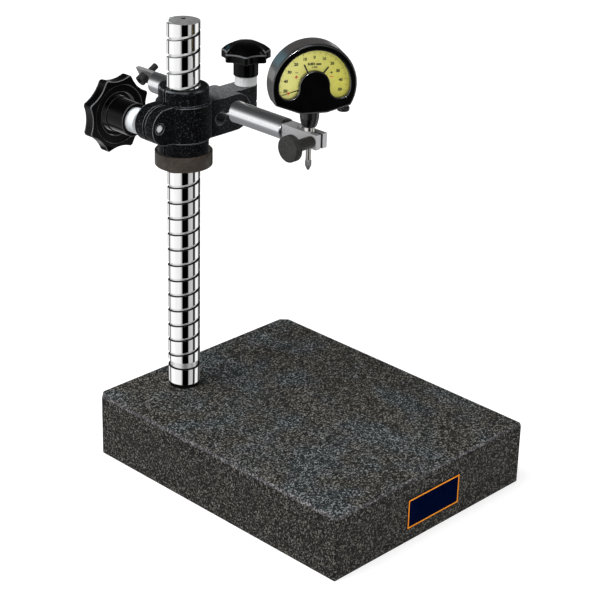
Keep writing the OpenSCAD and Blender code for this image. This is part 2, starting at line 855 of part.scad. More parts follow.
module hand_bush() {
    color("#b08d57") in_gauge() translate([0, 0, dial_z + dial_height])
        tube(bush_height, bush_r, arbor_r + hole_fit);
}

// Direction of a hand that points angle degrees clockwise from the top
module hand_turn(angle) rotate([0, 0, -angle]) children();

module limit_hand(angle, z) {
    in_gauge() hand_turn(angle) translate([0, 0, z])
    difference() {
        union() {
            cylinder(h = hand_height, r = hand_hub_r);
            translate([-hand_width / 2, 0, 0]) cube([hand_width, hand_reach, hand_height]);
        }
        translate([0, 0, -1]) cylinder(h = hand_height + 2, r = bush_r + turn_fit);
    }
}

module low_limit_hand() color("#101012") limit_hand(low_hand_angle, low_hand_z);

module high_limit_hand() color("#101012") limit_hand(high_hand_angle, high_hand_z);

module pointer() {
    color("#101012") in_gauge() hand_turn(pointer_angle) translate([0, 0, pointer_z])
    difference() {
        union() {
            cylinder(h = pointer_height, r = pointer_hub_r);
            linear_extrude(height = pointer_height) polygon([
                [-pointer_root / 2, -pointer_tail], [pointer_root / 2, -pointer_tail],
                [pointer_point / 2, pointer_reach], [-pointer_point / 2, pointer_reach]]);
        }
        translate([0, 0, -1]) cylinder(h = pointer_height + 2, r = arbor_r + eps);
    }
}

// Gears with involute flanks
function involute(a) = tan(a) * 180 / PI - a;
function base_r(teeth) = gear_module * teeth / 2 * cos(gear_pressure);
function flank_angle(teeth, r) = r <= base_r(teeth) ? involute(gear_pressure)
    : involute(gear_pressure) - involute(acos(base_r(teeth) / r));
function half_tooth(teeth, r) = 90 / teeth - gear_thin / (gear_module * teeth / 2) * 180 / PI
    + flank_angle(teeth, r);
function tooth_radii(teeth) = let (p = gear_module * teeth / 2, root = p - gear_dedendum * gear_module,
    tip = p + gear_addendum * gear_module) [root, max(root + eps, min(base_r(teeth), p)), p, (p + tip) / 2, tip];
function tooth_outline(teeth, at) = let (rr = tooth_radii(teeth)) concat(
    [for (r = rr) [r * cos(at - half_tooth(teeth, r)), r * sin(at - half_tooth(teeth, r))]],
    [for (k = [len(rr) - 1:-1:0]) let (r = rr[k], h = half_tooth(teeth, r)) [r * cos(at + h), r * sin(at + h)]]);

module pointer_arbor() {
    low = plate_z + air;
    color("#c9a35a") in_gauge()
    union() {
        translate([0, 0, low]) cylinder(h = arbor_front - low, r = arbor_r);
        translate([0, 0, sector_z - pinion_over]) linear_extrude(height = sector_height + 2 * pinion_over)
            polygon([for (k = [0:pinion_teeth - 1])
                each tooth_outline(pinion_teeth, line_angle + 180 + (k + 0.5) * 360 / pinion_teeth)]);
    }
}

module sector_lever() {
    pitch_angle = 360 / sector_teeth;
    root = tooth_radii(sector_teeth)[0];
    from = line_angle - (sector_span - 2) * pitch_angle;
    rest = -lever_swing / 2;
    color("#c9a35a") in_gauge() translate([pivot_x, pivot_y, 0])
    difference() {
        union() {
            translate([0, 0, lever_hub_low]) cylinder(h = lever_hub_high - lever_hub_low, r = lever_hub_r);
            translate([0, 0, sector_z]) linear_extrude(height = sector_height)
                polygon(concat([[0, 0]], [for (k = [0:sector_span - 1])
                    each tooth_outline(sector_teeth, from + k * pitch_angle)]));
            rotate([0, 0, rest]) translate([0, -lever_rod_r, sector_z])
                cube([lever_arm, 2 * lever_rod_r, sector_height]);
            rotate([0, 0, rest]) translate([lever_arm, 0, rod_low])
                cylinder(h = rod_high - rod_low, r = lever_rod_r);
        }
        translate([0, 0, lever_hub_low - 1]) cylinder(h = lever_hub_high - lever_hub_low + 2, r = pivot_r + turn_fit);
    }
}

module sector_pivot() {
    color("#9ea2a5") in_gauge() translate([pivot_x, pivot_y, plate_z]) cylinder(h = pivot_high - plate_z, r = pivot_r);
}

module movement_plate() {
    color("#b08d57") in_gauge()
    difference() {
        gauge_disc(plate_z, plate_height, movement_r - seat_fit, wall + seat_fit);
        translate([0, 0, plate_z - 1]) cylinder(h = plate_height + 2, r = arbor_r + turn_fit);
        translate([pivot_x, pivot_y, plate_z - 1]) cylinder(h = plate_height + 2, r = pivot_r + eps);
    }
}

// Flat spiral between the arbor and a small stud
module hairspring() {
    last = spiral_turns * spiral_points;
    path = [for (i = [0:last]) [spiral_r + spiral_step * i / spiral_points, i * 360 / spiral_points]];
    stud_at = spiral_r + spiral_step * spiral_turns + spiral_strip / 2;
    color("#5d6266") in_gauge()
    union() {
        translate([0, 0, spiral_z]) linear_extrude(height = spiral_height) polygon(concat(
            [for (p = path) [p[0] * cos(p[1]), p[0] * sin(p[1])]],
            [for (k = [last:-1:0]) let (p = path[k]) [(p[0] + spiral_strip) * cos(p[1]), (p[0] + spiral_strip) * sin(p[1])]]));
        translate([stud_at, 0, spiral_z]) cylinder(h = dial_z - spiral_z, r = stud_r);
    }
}

// Stem and spindle
module stem_collar() {
    color("#1b1b1d") at_stem() translate([0, 0, shell_low - neck_height])
    difference() {
        rotate_extrude() polygon([[0, 0], [neck_low_r, 0], [neck_low_r + 0.5, 0.7], [neck_mid_r, neck_round / 2],
            [neck_r, neck_round], [neck_r, neck_height], [0, neck_height]]);
        translate([0, 0, -1]) cylinder(h = neck_height + 2, r = stem_r + turn_fit);
    }
}

module gauge_stem() {
    color("#cfd2d4") at_stem() translate([0, 0, stem_low])
    difference() {
        disc(stem_top - stem_low, stem_r, 0.4);
        translate([0, 0, -1]) cylinder(h = stem_top - stem_low + 2, r = spindle_r + turn_fit);
        translate([0, 0, guide_height]) cylinder(h = stem_top - stem_low, r = bore_wide);
    }
}

module stem_bush() {
    color("#b08d57") at_stem() translate([0, 0, bush_low])
        tube(stem_top - bush_low, bore_wide - eps, spindle_r + turn_fit);
}

module measuring_spindle() {
    ball_z = gauge_axis_z + contact_y;
    color("#d3d6d8") at_stem()
    difference() {
        union() {
            translate([0, 0, spindle_low]) cylinder(h = spindle_top - spindle_low, r = spindle_r);
            translate([0, 0, flange_z]) cylinder(h = flange_height, r = flange_r);
            translate([0, 0, spindle_top - eps]) cylinder(h = ball_z - spindle_top + eps, r = spindle_stub);
            translate([0, 0, ball_z]) sphere(r = spindle_stub);
        }
        translate([0, 0, spindle_low - 1]) cylinder(h = tip_stud_length + 1.3, r = tip_stud_r + turn_fit);
    }
}

// One unbroken wire that climbs round the spindle
module measuring_spring() {
    count = spring_curls * spring_rings;
    rise = (spring_high - spring_low) / count;
    points = [for (i = [0:count]) for (k = [0:spring_sides - 1])
        let (a = i * 360 / spring_rings, b = k * 360 / spring_sides)
        [(spring_r + spring_wire * cos(b)) * cos(a), (spring_r + spring_wire * cos(b)) * sin(a),
            spring_low + rise * i + spring_wire * sin(b)]];
    sides = [for (i = [0:count - 1]) for (k = [0:spring_sides - 1])
        let (a = i * spring_sides + k, b = i * spring_sides + (k + 1) % spring_sides)
        each [[a, a + spring_sides, b], [b, a + spring_sides, b + spring_sides]]];
    last = count * spring_sides;
    color("#9ea2a5") at_stem()
        polyhedron(points, concat(sides, fan([for (k = [0:spring_sides - 1]) k]),
            fan([for (k = [spring_sides - 1:-1:0]) last + k])));
}

module contact_tip() {
    low = spindle_low - tip_length;
    color("#85898c") at_stem()
    union() {
        translate([0, 0, low]) rotate_extrude() polygon([[0, tip_ball], [tip_ball, tip_ball], [tip_r, tip_waist],
            [tip_r, tip_length - 0.4], [tip_r - 0.4, tip_length], [0, tip_length]]);
        translate([0, 0, low + tip_ball]) sphere(r = tip_ball);
        translate([0, 0, spindle_low - eps]) cylinder(h = tip_stud_length, r = tip_stud_r);
    }
}

module zero_adjust_knob() {
    color("#1b1b1d") in_gauge() translate([zero_x, zero_y, zero_z]) along_y_up()
    union() {
        translate([0, 0, -zero_height]) disc(zero_height, zero_r, 0.5);
        translate([0, 0, -eps]) cylinder(h = zero_in, r = zero_shaft_r);
    }
}
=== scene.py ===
"""Comparator stand: granite table, grooved chrome column, clamped carriage and arm, dial comparator.

Shapes are in millimetres in the part's own frame, and MM turns them into Blender's metres.
Finishes, stage, lamps and camera are in metres.
"""
import math

import bmesh
import bpy
import numpy as np
from mathutils import Matrix, Vector


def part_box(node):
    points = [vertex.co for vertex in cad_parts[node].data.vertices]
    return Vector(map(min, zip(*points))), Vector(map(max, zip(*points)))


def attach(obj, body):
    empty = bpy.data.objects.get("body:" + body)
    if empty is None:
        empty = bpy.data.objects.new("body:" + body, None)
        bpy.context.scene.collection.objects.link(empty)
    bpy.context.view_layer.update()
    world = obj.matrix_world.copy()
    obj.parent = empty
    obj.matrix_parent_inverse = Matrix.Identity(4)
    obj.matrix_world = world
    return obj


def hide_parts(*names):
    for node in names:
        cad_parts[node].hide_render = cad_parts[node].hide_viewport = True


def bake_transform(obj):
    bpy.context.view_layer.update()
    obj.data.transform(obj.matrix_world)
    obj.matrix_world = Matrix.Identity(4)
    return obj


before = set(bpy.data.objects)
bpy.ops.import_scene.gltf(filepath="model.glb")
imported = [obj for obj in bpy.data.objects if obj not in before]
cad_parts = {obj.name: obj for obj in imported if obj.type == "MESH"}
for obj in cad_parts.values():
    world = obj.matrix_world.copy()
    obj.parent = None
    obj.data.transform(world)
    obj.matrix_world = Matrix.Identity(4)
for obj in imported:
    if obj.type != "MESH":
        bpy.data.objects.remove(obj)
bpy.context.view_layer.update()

MM = 0.001
COLUMN_X, COLUMN_Y = -40.0, 93.0
CLAMP_X, CLAMP_Y, CLAMP_Z = -71.0, 102.5, 263.8    # foot of the clamp knob, on the stud's axis
STAR_FOOT = (21.5, 93.0, 282.0)
THUMB_FACE = (-29.5, -1.3, 261.7)
TIP_END = (0.0, 6.5, 237.2)
# the comparator, turned 30 degrees in its clamp: middle, and its ways to the right, up and out of the face
GAUGE_COS, GAUGE_SIN = math.cos(math.pi / 6), 0.5
GAUGE = ((0.0, 6.5, 302.6), (GAUGE_COS, -GAUGE_SIN, 0.0), (0.0, 0.0, 1.0), (-GAUGE_SIN, -GAUGE_COS, 0.0))
CAMERA_YAW, CAMERA_PITCH, CAMERA_ROLL = 46.054, 24.750, 1.510
CAMERA_PLACE = (-0.891823, -0.848626, 0.705303)
CAMERA_LENS = 111.82
WHITE = (1.0, 1.0, 1.0, 1.0)


# ---------------------------------------------------------------- surfaces

def skin(points, wrap_along=False, wrap_across=True):
    """Quads between neighbours of a grid of points; a wrapped direction joins its last line to its first."""
    n, m = points.shape[:2]
    i = np.arange(n if wrap_along else n - 1)
    j = np.arange(m if wrap_across else m - 1)
    i, j = np.meshgrid(i, j, indexing="ij")
    i2, j2 = (i + 1) % n, (j + 1) % m
    quads = np.stack([i * m + j, i2 * m + j, i2 * m + j2, i * m + j2], -1).reshape(-1, 4)
    return points.reshape(-1, 3), quads


def together(*shells):
    """Several shells as one: the points in a row, each shell's faces moved on by the points before it."""
    starts = np.cumsum([0] + [len(p) for p, _ in shells[:-1]])
    faces = np.concatenate([f + s for (_, f), s in zip(shells, starts)])
    return np.concatenate([p for p, _ in shells]), faces


def eased(corners, radii, steps=6):
    """Profile with rounded corners: corner P becomes the parabola (1-s)^2 A + 2s(1-s) P + s^2 C,
    where A and C lie its radius back and ahead on the profile's straight lines."""
    p = np.asarray(corners, float)
    r = np.broadcast_to(np.asarray(radii, float), (len(p),))[:, None]
    back, ahead = np.roll(p, 1, 0) - p, np.roll(p, -1, 0) - p
    back[0], ahead[-1] = 0, 0
    a, c = (p + r * way / np.maximum(np.linalg.norm(way[:, :2], axis=1, keepdims=True), 1e-9)
            for way in (back, ahead))
    s = np.linspace(0, 1, steps)[None, :, None]
    curve = (1 - s) ** 2 * a[:, None] + 2 * s * (1 - s) * p[:, None] + s * s * c[:, None]
    return curve.reshape(-1, p.shape[1])


def turned(profile, count=96, rim=None):
    """Turned shape: each profile point (radius, height, share) goes round the axis, and share times
    the rim's shortfall, a function of the angle, is added to its radius."""
    p = np.asarray(profile, float)
    angle = np.linspace(0, 2 * np.pi, count, endpoint=False)[None, :]
    radius = p[:, :1] + (p[:, 2:3] * rim(angle) if rim else 0 * angle)
    height = np.broadcast_to(p[:, 1:2], radius.shape)
    return np.stack([radius * np.cos(angle), radius * np.sin(angle), height], -1)


def hollows(tip, valley, flute, count, turn):
    """Shortfall of a lobed rim: the soft least of the tip radius and the near side of the flute circles,
    c cos(d) - sqrt(flute^2 - c^2 sin^2(d)) with d the angle from the nearest valley, less the tip radius."""
    step, c, soft = 2 * np.pi / count, valley + flute, 0.15

    def rim(angle):
        d = (angle - math.radians(turn)) % step - step / 2
        inside = flute ** 2 - (c * np.sin(d)) ** 2
        near = np.where(inside > 0, c * np.cos(d) - np.sqrt(np.maximum(inside, 0)), tip + 9)
        return -soft * np.log(1 + np.exp((tip - near) / soft))
    return rim


def knurl(angle, along, lines, slope, depth):
    """Diamond knurl: two families of slanted ridges, the higher of |cos| of each, cut to a depth."""
    a = np.abs(np.cos(lines / 2 * angle + slope * along))
    b = np.abs(np.cos(lines / 2 * angle - slope * along))
    return -depth * (1 - np.maximum(a, b) ** 2)


def knurled(profile, count, lines, slope, depth):
    """Turned shape that carries a diamond knurl where the profile's share is 1."""
    return turned(profile, count, lambda angle: knurl(angle, profile[:, 1:2], lines, slope, depth))


def knurl_band(radius, low, high, count):
    """Profile of a knurled band: a straight line of one radius, with the full share."""
    return np.stack([np.full(count, radius), np.linspace(low, high, count), np.ones(count)], 1)


def placed(points, origin, x_way, y_way, z_way):
    """Local points carried to origin + x X + y Y + z Z."""
    return np.asarray(origin, float) + points @ np.array([x_way, y_way, z_way], float)


def lay(name, shell, body, finish, replaced=(), closed=True, crease=32, gloss=None):
    """Shell into a mesh in the part's frame: doubled points join, faces turn outwards where the shell
    is closed, and edges sharper than the crease angle stay sharp; gloss is kept as a value at each point.
    A body of four parts, two bodies and two points, leaves the piece fixed where it lies, joined to neither
    body."""
    points, faces = shell
    mesh = bpy.data.meshes.new(name)
    mesh.from_pydata((points * MM).tolist(), [], faces.tolist())
    if gloss is not None:
        values = mesh.attributes.new("gloss", "FLOAT", "POINT").data
        values.foreach_set("value", np.ravel(gloss).astype(np.float32))
    work = bmesh.new()
    work.from_mesh(mesh)
    bmesh.ops.remove_doubles(work, verts=work.verts, dist=0.003 * MM)
    bmesh.ops.dissolve_degenerate(work, dist=0.001 * MM, edges=work.edges)
    if closed:
        bmesh.ops.recalc_face_normals(work, faces=work.faces)
    work.to_mesh(mesh)
    work.free()
    mesh.shade_smooth()
    mesh.set_sharp_from_angle(angle=math.radians(crease))
    mesh.materials.append(FINISH[finish])
    piece = bpy.data.objects.new(name, mesh)
    bpy.context.scene.collection.objects.link(piece)
    rigid = isinstance(body, str)
    if closed and rigid:
        even = piece.modifiers.new("even_shading", "WEIGHTED_NORMAL")
        even.mode, even.keep_sharp = "FACE_AREA", True
    if rigid:
        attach(piece, body)
    else:
        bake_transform(piece)
    if replaced:
        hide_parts(*replaced)


# ---------------------------------------------------------------- shader tools

def node(tree, kind, feed=None, **settings):
    """One shader node: settings are its own properties, feed holds values or sockets for its inputs."""
    made = tree.nodes.new("ShaderNode" + kind)
    for key, value in settings.items():
        setattr(made, key, value)
    for key, value in (feed or {}).items():
        if isinstance(value, bpy.types.NodeSocket):
            tree.links.new(value, made.inputs[key])
        else:
            made.inputs[key].default_value = value
    return made


def calc(tree, how, a, b=0.0):
    """One sum on one or two values."""
    return node(tree, "Math", {0: a, 1: b}, operation=how).outputs[0]


def axes(tree, vector):
    """The three parts of a vector."""
    return node(tree, "SeparateXYZ", {0: vector}).outputs


def facing(tree):
    """The three parts of the way that the surface faces."""
    return axes(tree, node(tree, "NewGeometry").outputs["Normal"])


def length(tree, vector):
    return node(tree, "VectorMath", {0: vector}, operation="LENGTH").outputs["Value"]


def dot(tree, vector, way):
    """How far a vector goes along a way."""
    return node(tree, "VectorMath", {0: vector, 1: way}, operation="DOT_PRODUCT").outputs["Value"]


def from_axis(tree, where, shift, keep):
    """Places counted from an axis and flattened along it, and their distance from it."""
    flat = node(tree, "Mapping", {"Vector": where, "Location": shift, "Scale": keep}).outputs[0]
    return flat, length(tree, flat)


def mesh_gloss(tree):
    """The value that the mesh keeps at each point."""
    return node(tree, "Attribute", attribute_name="gloss").outputs["Fac"]


def bare(name):
    """Material with no nodes yet."""
    material = bpy.data.materials.new(name)
    material.use_nodes = True
    material.node_tree.nodes.clear()
    return material, material.node_tree


def blank(name, **sockets):
    """Material with one Principled shader; plain values go on its own sockets."""
    material, tree = bare(name)
    shader = node(tree, "BsdfPrincipled")
    for key, value in sockets.items():
        shader.inputs[key.replace("_", " ")].default_value = value
    tree.links.new(shader.outputs[0], node(tree, "OutputMaterial").inputs[0])
    where = node(tree, "TexCoord").outputs["Object"]
    return material, tree, shader, where


def grain(tree, where, scale, detail=3.0, rough=0.55, stretch=None):
    """Cloud noise at a number of cells per metre, stretched along the axes where asked."""
    if stretch:
        where = node(tree, "Mapping", {"Vector": where, "Scale": stretch}).outputs[0]
    feed = {"Vector": where, "Scale": scale, "Detail": detail, "Roughness": rough}
    return node(tree, "TexNoise", feed).outputs[0]


def ramp(tree, value, *stops):
    """Colour ramp through (position, colour) stops."""
    made = node(tree, "ValToRGB", {0: value})
    band = made.color_ramp.elements
    while len(band) < len(stops):
        band.new(0.5)
    for element, (at, colour) in zip(band, stops):
        element.position = at
        element.color = (*colour, 1.0)
    return made.outputs[0]


def span(tree, value, low, high, to_low=0.0, to_high=1.0, smooth=False):
    """Value from one range to another, held at the ends."""
    return node(tree, "MapRange", {0: value, 1: low, 2: high, 3: to_low, 4: to_high},
                interpolation_type="SMOOTHSTEP" if smooth else "LINEAR").outputs[0]


def greys(tree, value, stops, blue=1.0):
    """Greys by (value, grey) stops over the value's own range, with a share of blue."""
    low, high = stops[0][0], stops[-1][0]
    return ramp(tree, span(tree, value, low, high),
                *[((at - low) / (high - low), (v, v, v * blue)) for at, v in stops])


def blend(tree, share, first, second):
    """Colour between two colours or sockets."""
    made = node(tree, "Mix", data_type="RGBA")
    for index, value in ((0, share), (6, first), (7, second)):
        if isinstance(value, bpy.types.NodeSocket):
            tree.links.new(value, made.inputs[index])
        else:
            made.inputs[index].default_value = (*value, 1.0) if isinstance(value, tuple) else value
    return made.outputs[2]


def rounded(tree, reach):
    """Normal as if edges were rounded by a radius in millimetres."""
    return node(tree, "Bevel", {"Radius": reach * MM}, samples=4).outputs[0]


def relief(tree, shader, height, strength, depth, soft_edge=0.0):
    """Bump of a height pattern, depth in millimetres, over edges rounded by soft_edge millimetres."""
    bump = node(tree, "Bump", {"Height": height, "Strength": strength, "Distance": depth * MM})
    if soft_edge:
        tree.links.new(rounded(tree, soft_edge), bump.inputs["Normal"])
    tree.links.new(bump.outputs[0], shader.inputs["Normal"])


def edges(tree, reach):
    """1 on edges that stand proud, 0 on flats and in inner corners: how far the rounded normal leans from
    the true one, where nothing close by shades the spot."""
    lean = dot(tree, rounded(tree, reach), node(tree, "NewGeometry").outputs["Normal"])
    open_sky = node(tree, "AmbientOcclusion", {"Distance": 2.5 * reach * MM}, samples=12, only_local=True)
    return calc(tree, "MULTIPLY", span(tree, lean, 0.99, 0.9), span(tree, open_sky.outputs["AO"], 0.93, 1.0))


def paint(shader, key, socket):
    shader.id_data.links.new(socket, shader.inputs[key])


# ---------------------------------------------------------------- finishes

def granite():
    """Black granite: dark grains of about a millimetre among pale and tan ones, cooler in patches on top,
    browner on the sawn sides, paler along the rounded edge."""
    material, tree, shader, where = blank("granite", Specular_IOR_Level=0.05)
    up = facing(tree)[2]
    cloud = grain(tree, where, 30.0)
    warp = node(tree, "VectorMath", {0: grain(tree, where, 900.0, 2.0), 1: (0.0004, 0.0004, 0.0004)},
                operation="MULTIPLY").outputs[0]
    bent = node(tree, "VectorMath", {0: where, 1: warp}).outputs[0]
    cell = node(tree, "TexVoronoi", {"Vector": bent, "Scale": 1080.0, "Randomness": 1.0}).outputs["Color"]
    tone, hue, _ = axes(tree, cell)
    fine = grain(tree, where, 1300.0, 2.0, 0.6)
    mixed = calc(tree, "ADD", span(tree, tone, 0.0, 1.0, 0.0, 0.8), span(tree, fine, 0.3, 0.7, 0.0, 0.2))
    # the same four stops from dark to pale grains, in three hues
    grey, tan, cool = (ramp(tree, mixed, *zip((0.3, 0.56, 0.7, 0.88), colours)) for colours in (
        ((0.005, 0.005, 0.005), (0.018, 0.018, 0.0175), (0.05, 0.05, 0.048), (0.19, 0.19, 0.18)),
        ((0.006, 0.0055, 0.005), (0.019, 0.0175, 0.0145), (0.05, 0.046, 0.038), (0.165, 0.152, 0.128)),
        ((0.005, 0.0065, 0.007), (0.019, 0.023, 0.0245), (0.052, 0.058, 0.061), (0.2, 0.212, 0.216))))
    sides = blend(tree, 0.14, blend(tree, span(tree, hue, 0.3, 0.7), tan, grey), (0.0, 0.0, 0.0))
    top = blend(tree, span(tree, cloud, 0.42, 0.6), blend(tree, 0.6, grey, tan), cool)
    stone = blend(tree, span(tree, up, 0.75, 0.95), sides, top)
    # paler along the rounded edge, found by the way the surface faces
    lip = calc(tree, "MULTIPLY", span(tree, up, 0.15, 0.4), span(tree, up, 0.97, 0.8))
    paler_edge_tone = ramp(tree, mixed, (0.3, (0.03, 0.029, 0.031)), (0.7, (0.1, 0.098, 0.102)),
                  (0.88, (0.22, 0.215, 0.22)))
    paint(shader, "Base Color", blend(tree, span(tree, lip, 0.0, 1.0, 0.0, 0.75), stone, paler_edge_tone))
    paint(shader, "Roughness", span(tree, fine, 0.4, 0.65, 0.6, 0.45))
    relief(tree, shader, fine, 0.1, 0.05)
    return material


def chrome():
    """Hard chrome: a clear mirror with faint streaks, painted shade where the mesh says so (groove walls and
    corners, centre hole), a dull pale groove floor and a duller turned top."""
    material, tree, shader, where = blank("column_chrome")
    flat, radius = from_axis(tree, where, (-COLUMN_X * MM, -COLUMN_Y * MM, 0.0), (1.0, 1.0, 0.0))
    wall = (0.0107, 0.0118)    # distances from the axis between the groove's floor and the land
    end = span(tree, facing(tree)[2], 0.8, 0.9)
    streak = grain(tree, where, 60.0, 4.0, 0.6, (9.0, 9.0, 1.0))
    bright = ramp(tree, streak, (0.3, (0.88, 0.88, 0.885)), (0.7, (0.95, 0.95, 0.95)))
    floor = blend(tree, span(tree, radius, *wall), (0.76, 0.76, 0.76), bright)
    turned_end = ramp(tree, grain(tree, flat, 160.0, 2.0), (0.3, (0.17, 0.17, 0.17)), (0.7, (0.27, 0.27, 0.27)))
    colour = blend(tree, end, floor, turned_end)
    # painted shade: near black where the mesh's value is 1
    paint(shader, "Base Color", blend(tree, mesh_gloss(tree), colour, (0.006, 0.006, 0.006)))
    paint(shader, "Metallic", span(tree, end, 0.0, 1.0, 1.0, 0.45))
    paint(shader, "Roughness", calc(tree, "MAXIMUM", span(tree, radius, *wall, 0.4, 0.0),
                                    span(tree, end, 0.0, 1.0, 0.0, 0.45)))
    return material


def black_gloss(name, colour, specular, roughness):
    """Moulded black plastic or lacquer: a faint ripple, slight dust, a soft gloss, and painted highlights:
    paler edges where the mesh says so."""
    material, tree, shader, where = blank(name, Specular_IOR_Level=specular)
    cloud = grain(tree, where, 90.0, 4.0)
    dust_and_sheen = tuple(min(1.0, c * 1.7 + 0.0006) for c in colour)
    plain = ramp(tree, cloud, (0.35, colour), (0.75, dust_and_sheen))
    # painted highlight: paler where the mesh's value says so
    paint(shader, "Base Color", blend(tree, mesh_gloss(tree), plain, (0.11, 0.112, 0.115)))
    paint(shader, "Roughness", span(tree, cloud, 0.3, 0.75, roughness, roughness * 1.5))
    relief(tree, shader, grain(tree, where, 900.0, 2.0), 0.12, 0.01, 0.35)
    return material


def front_black():
    """Black front of the comparator: deep matt paint whose rounded rim and bevelled opening carry a clear
    coat and a paler colour painted there as highlight.
    """
    material, tree, shader, where = blank("front_black", Specular_IOR_Level=0.03,
                                          Coat_IOR=1.8, Coat_Roughness=0.1)
    polish_and_highlight = mesh_gloss(tree)
    cloud = grain(tree, where, 120.0)
    flat = ramp(tree, cloud, (0.35, (0.0006, 0.0006, 0.0007)), (0.75, (0.0014, 0.0014, 0.0015)))
    # painted highlight: paler on the polished rim and bevel
    paint(shader, "Base Color", blend(tree, polish_and_highlight, flat, (0.012, 0.0125, 0.013)))
    paint(shader, "Coat Weight", polish_and_highlight)
    paint(shader, "Roughness", span(tree, cloud, 0.3, 0.75, 0.14, 0.2))
    return material


def cast_black():
    """Painted casting: pebbled black enamel; the socket's top greyed as painted light, and pale proud edges
    that are partly paint worn to bare metal, partly painted highlight.
    """
    material, tree, shader, where = blank("cast_black", Specular_IOR_Level=0.05)
    pebble = grain(tree, where, 780.0, 3.0, 0.62)
    body = ramp(tree, pebble, (0.44, (0.0003, 0.0004, 0.0005)), (0.56, (0.0022, 0.0025, 0.0031)),
                (0.68, (0.036, 0.039, 0.044)))
    dust_and_sheen = ramp(tree, pebble, (0.36, (0.045, 0.046, 0.048)), (0.66, (0.17, 0.174, 0.18)))
    # pale proud edges: partly paint worn to bare metal, partly painted highlight
    wear_and_highlight = calc(tree, "MULTIPLY", edges(tree, 0.9), span(tree, grain(tree, where, 70.0), 0.34, 0.52))
    # to the right of the collars lies the socket: painted light greys its top, and a painted sheen makes its
    # sides a little paler than the collars
    socket = span(tree, axes(tree, where)[0], -0.024, -0.014)
    lit_socket_top = calc(tree, "MULTIPLY", span(tree, facing(tree)[2], 0.75, 0.97), socket)
    sides = blend(tree, span(tree, socket, 0.0, 1.0, 0.0, 0.1), body, dust_and_sheen)
    paint(shader, "Base Color", blend(tree, wear_and_highlight, blend(tree, lit_socket_top, sides, dust_and_sheen), (0.25, 0.265, 0.28)))
    paint(shader, "Roughness", span(tree, pebble, 0.35, 0.65, 0.5, 0.34))
    relief(tree, shader, pebble, 0.5, 0.3, 0.5)
    return material


def arm_steel():
    """Ground steel bar: soft gloss with faint lengthwise lines; the milled block and the tongue at its ends
    are duller, the block's edges and jaw fronts painted bright as highlights, the slit and the shoulder behind
    the block painted dark as shade."""
    material, tree, shader, where = blank("arm_steel")
    x, y, _ = axes(tree, where)
    ahead = facing(tree)[1]
    round_bar = calc(tree, "MULTIPLY", span(tree, y, 0.0279, 0.0281), span(tree, y, 0.1701, 0.1699))
    slit = calc(tree, "MULTIPLY", span(tree, calc(tree, "ABSOLUTE", x), 0.00106, 0.00102),
                span(tree, y, 0.0165, 0.016))
    shoulder = calc(tree, "MULTIPLY", span(tree, ahead, -0.6, -0.8), span(tree, y, 0.0268, 0.0274))
    jaw_front = calc(tree, "MULTIPLY", span(tree, ahead, -0.8, -0.95), span(tree, y, 0.0, -0.004))
    lines = grain(tree, where, 260.0, 3.0, 0.6, (1.0, 0.02, 1.0))
    milled = grain(tree, where, 220.0, 3.0, 0.6, (1.0, 0.2, 1.0))
    bar = ramp(tree, lines, (0.35, (0.77, 0.78, 0.8)), (0.65, (0.81, 0.82, 0.84)))
    block = ramp(tree, milled, (0.3, (0.36, 0.355, 0.36)), (0.7, (0.43, 0.425, 0.43)))
    # painted highlight: the jaw fronts and the block's edges lightened
    block = blend(tree, calc(tree, "MAXIMUM", jaw_front, edges(tree, 0.4)), block, (0.68, 0.68, 0.69))
    steel = blend(tree, round_bar, block, bar)
    # painted shade: the slit and the shoulder behind the block near black
    paint(shader, "Base Color", blend(tree, calc(tree, "MAXIMUM", slit, shoulder), steel, (0.02, 0.02, 0.021)))
    paint(shader, "Metallic", span(tree, round_bar, 0.0, 1.0, 0.6, 1.0))
    paint(shader, "Roughness", span(tree, round_bar, 0.0, 1.0, 0.32, 0.22))
    return material


def ground_steel(name, tone, roughness, stretch):
    """Ground steel: fine scratches across the work, a little colour drift."""
    material, tree, shader, where = blank(name, Metallic=1.0)
    scratch = grain(tree, where, 300.0, 4.0, 0.65, (1.0, 1.0, stretch))
    low = tuple(c * 0.86 for c in tone)
    paint(shader, "Base Color", blend(tree, span(tree, scratch, 0.35, 0.65), low, tone))
    paint(shader, "Roughness", calc(tree, "MULTIPLY",
                                    span(tree, scratch, 0.3, 0.7, roughness * 0.85, roughness * 1.2),
                                    span(tree, grain(tree, where, 40.0, 2.0), 0.3, 0.7, 0.95, 1.08)))
    relief(tree, shader, scratch, 0.06, 0.05, 0.25)
    return material


def stud_steel():
    """Turned end of the clamp stud: bright middle, rim painted dark as shade, counted from the stud's axis."""
    material, tree, shader, where = blank("stud_steel", Metallic=0.25, Roughness=0.25)
    _, radius = from_axis(tree, where, (-CLAMP_X * MM, 0.0, -CLAMP_Z * MM), (1.0, 0.0, 1.0))
    drift = span(tree, grain(tree, where, 700.0, 2.0), 0.3, 0.7, -0.00025, 0.00025)
    reach = span(tree, calc(tree, "ADD", radius, drift), 0.0, 0.004)
    # bright in the middle, painted shade dark at the rim
    paint(shader, "Base Color", ramp(tree, reach, (0.3, (0.86, 0.87, 0.88)), (0.58, (0.62, 0.62, 0.62)),
                                     (0.7, (0.012, 0.012, 0.012))))
    return material


def satin(name, dark, light, scale, roughness, depth, soft=0.3, specular=0.4):
    """Satin surface: mottled between two tones, finely pitted, with softened edges."""
    material, tree, shader, where = blank(name, Specular_IOR_Level=specular)
    mottle = grain(tree, where, scale, 4.0, 0.6)
    paint(shader, "Base Color", ramp(tree, mottle, (0.35, dark), (0.68, light)))
    paint(shader, "Roughness", span(tree, mottle, 0.3, 0.7, roughness * 1.1, roughness * 0.85))
    relief(tree, shader, mottle, 0.2, depth, soft)
    return material


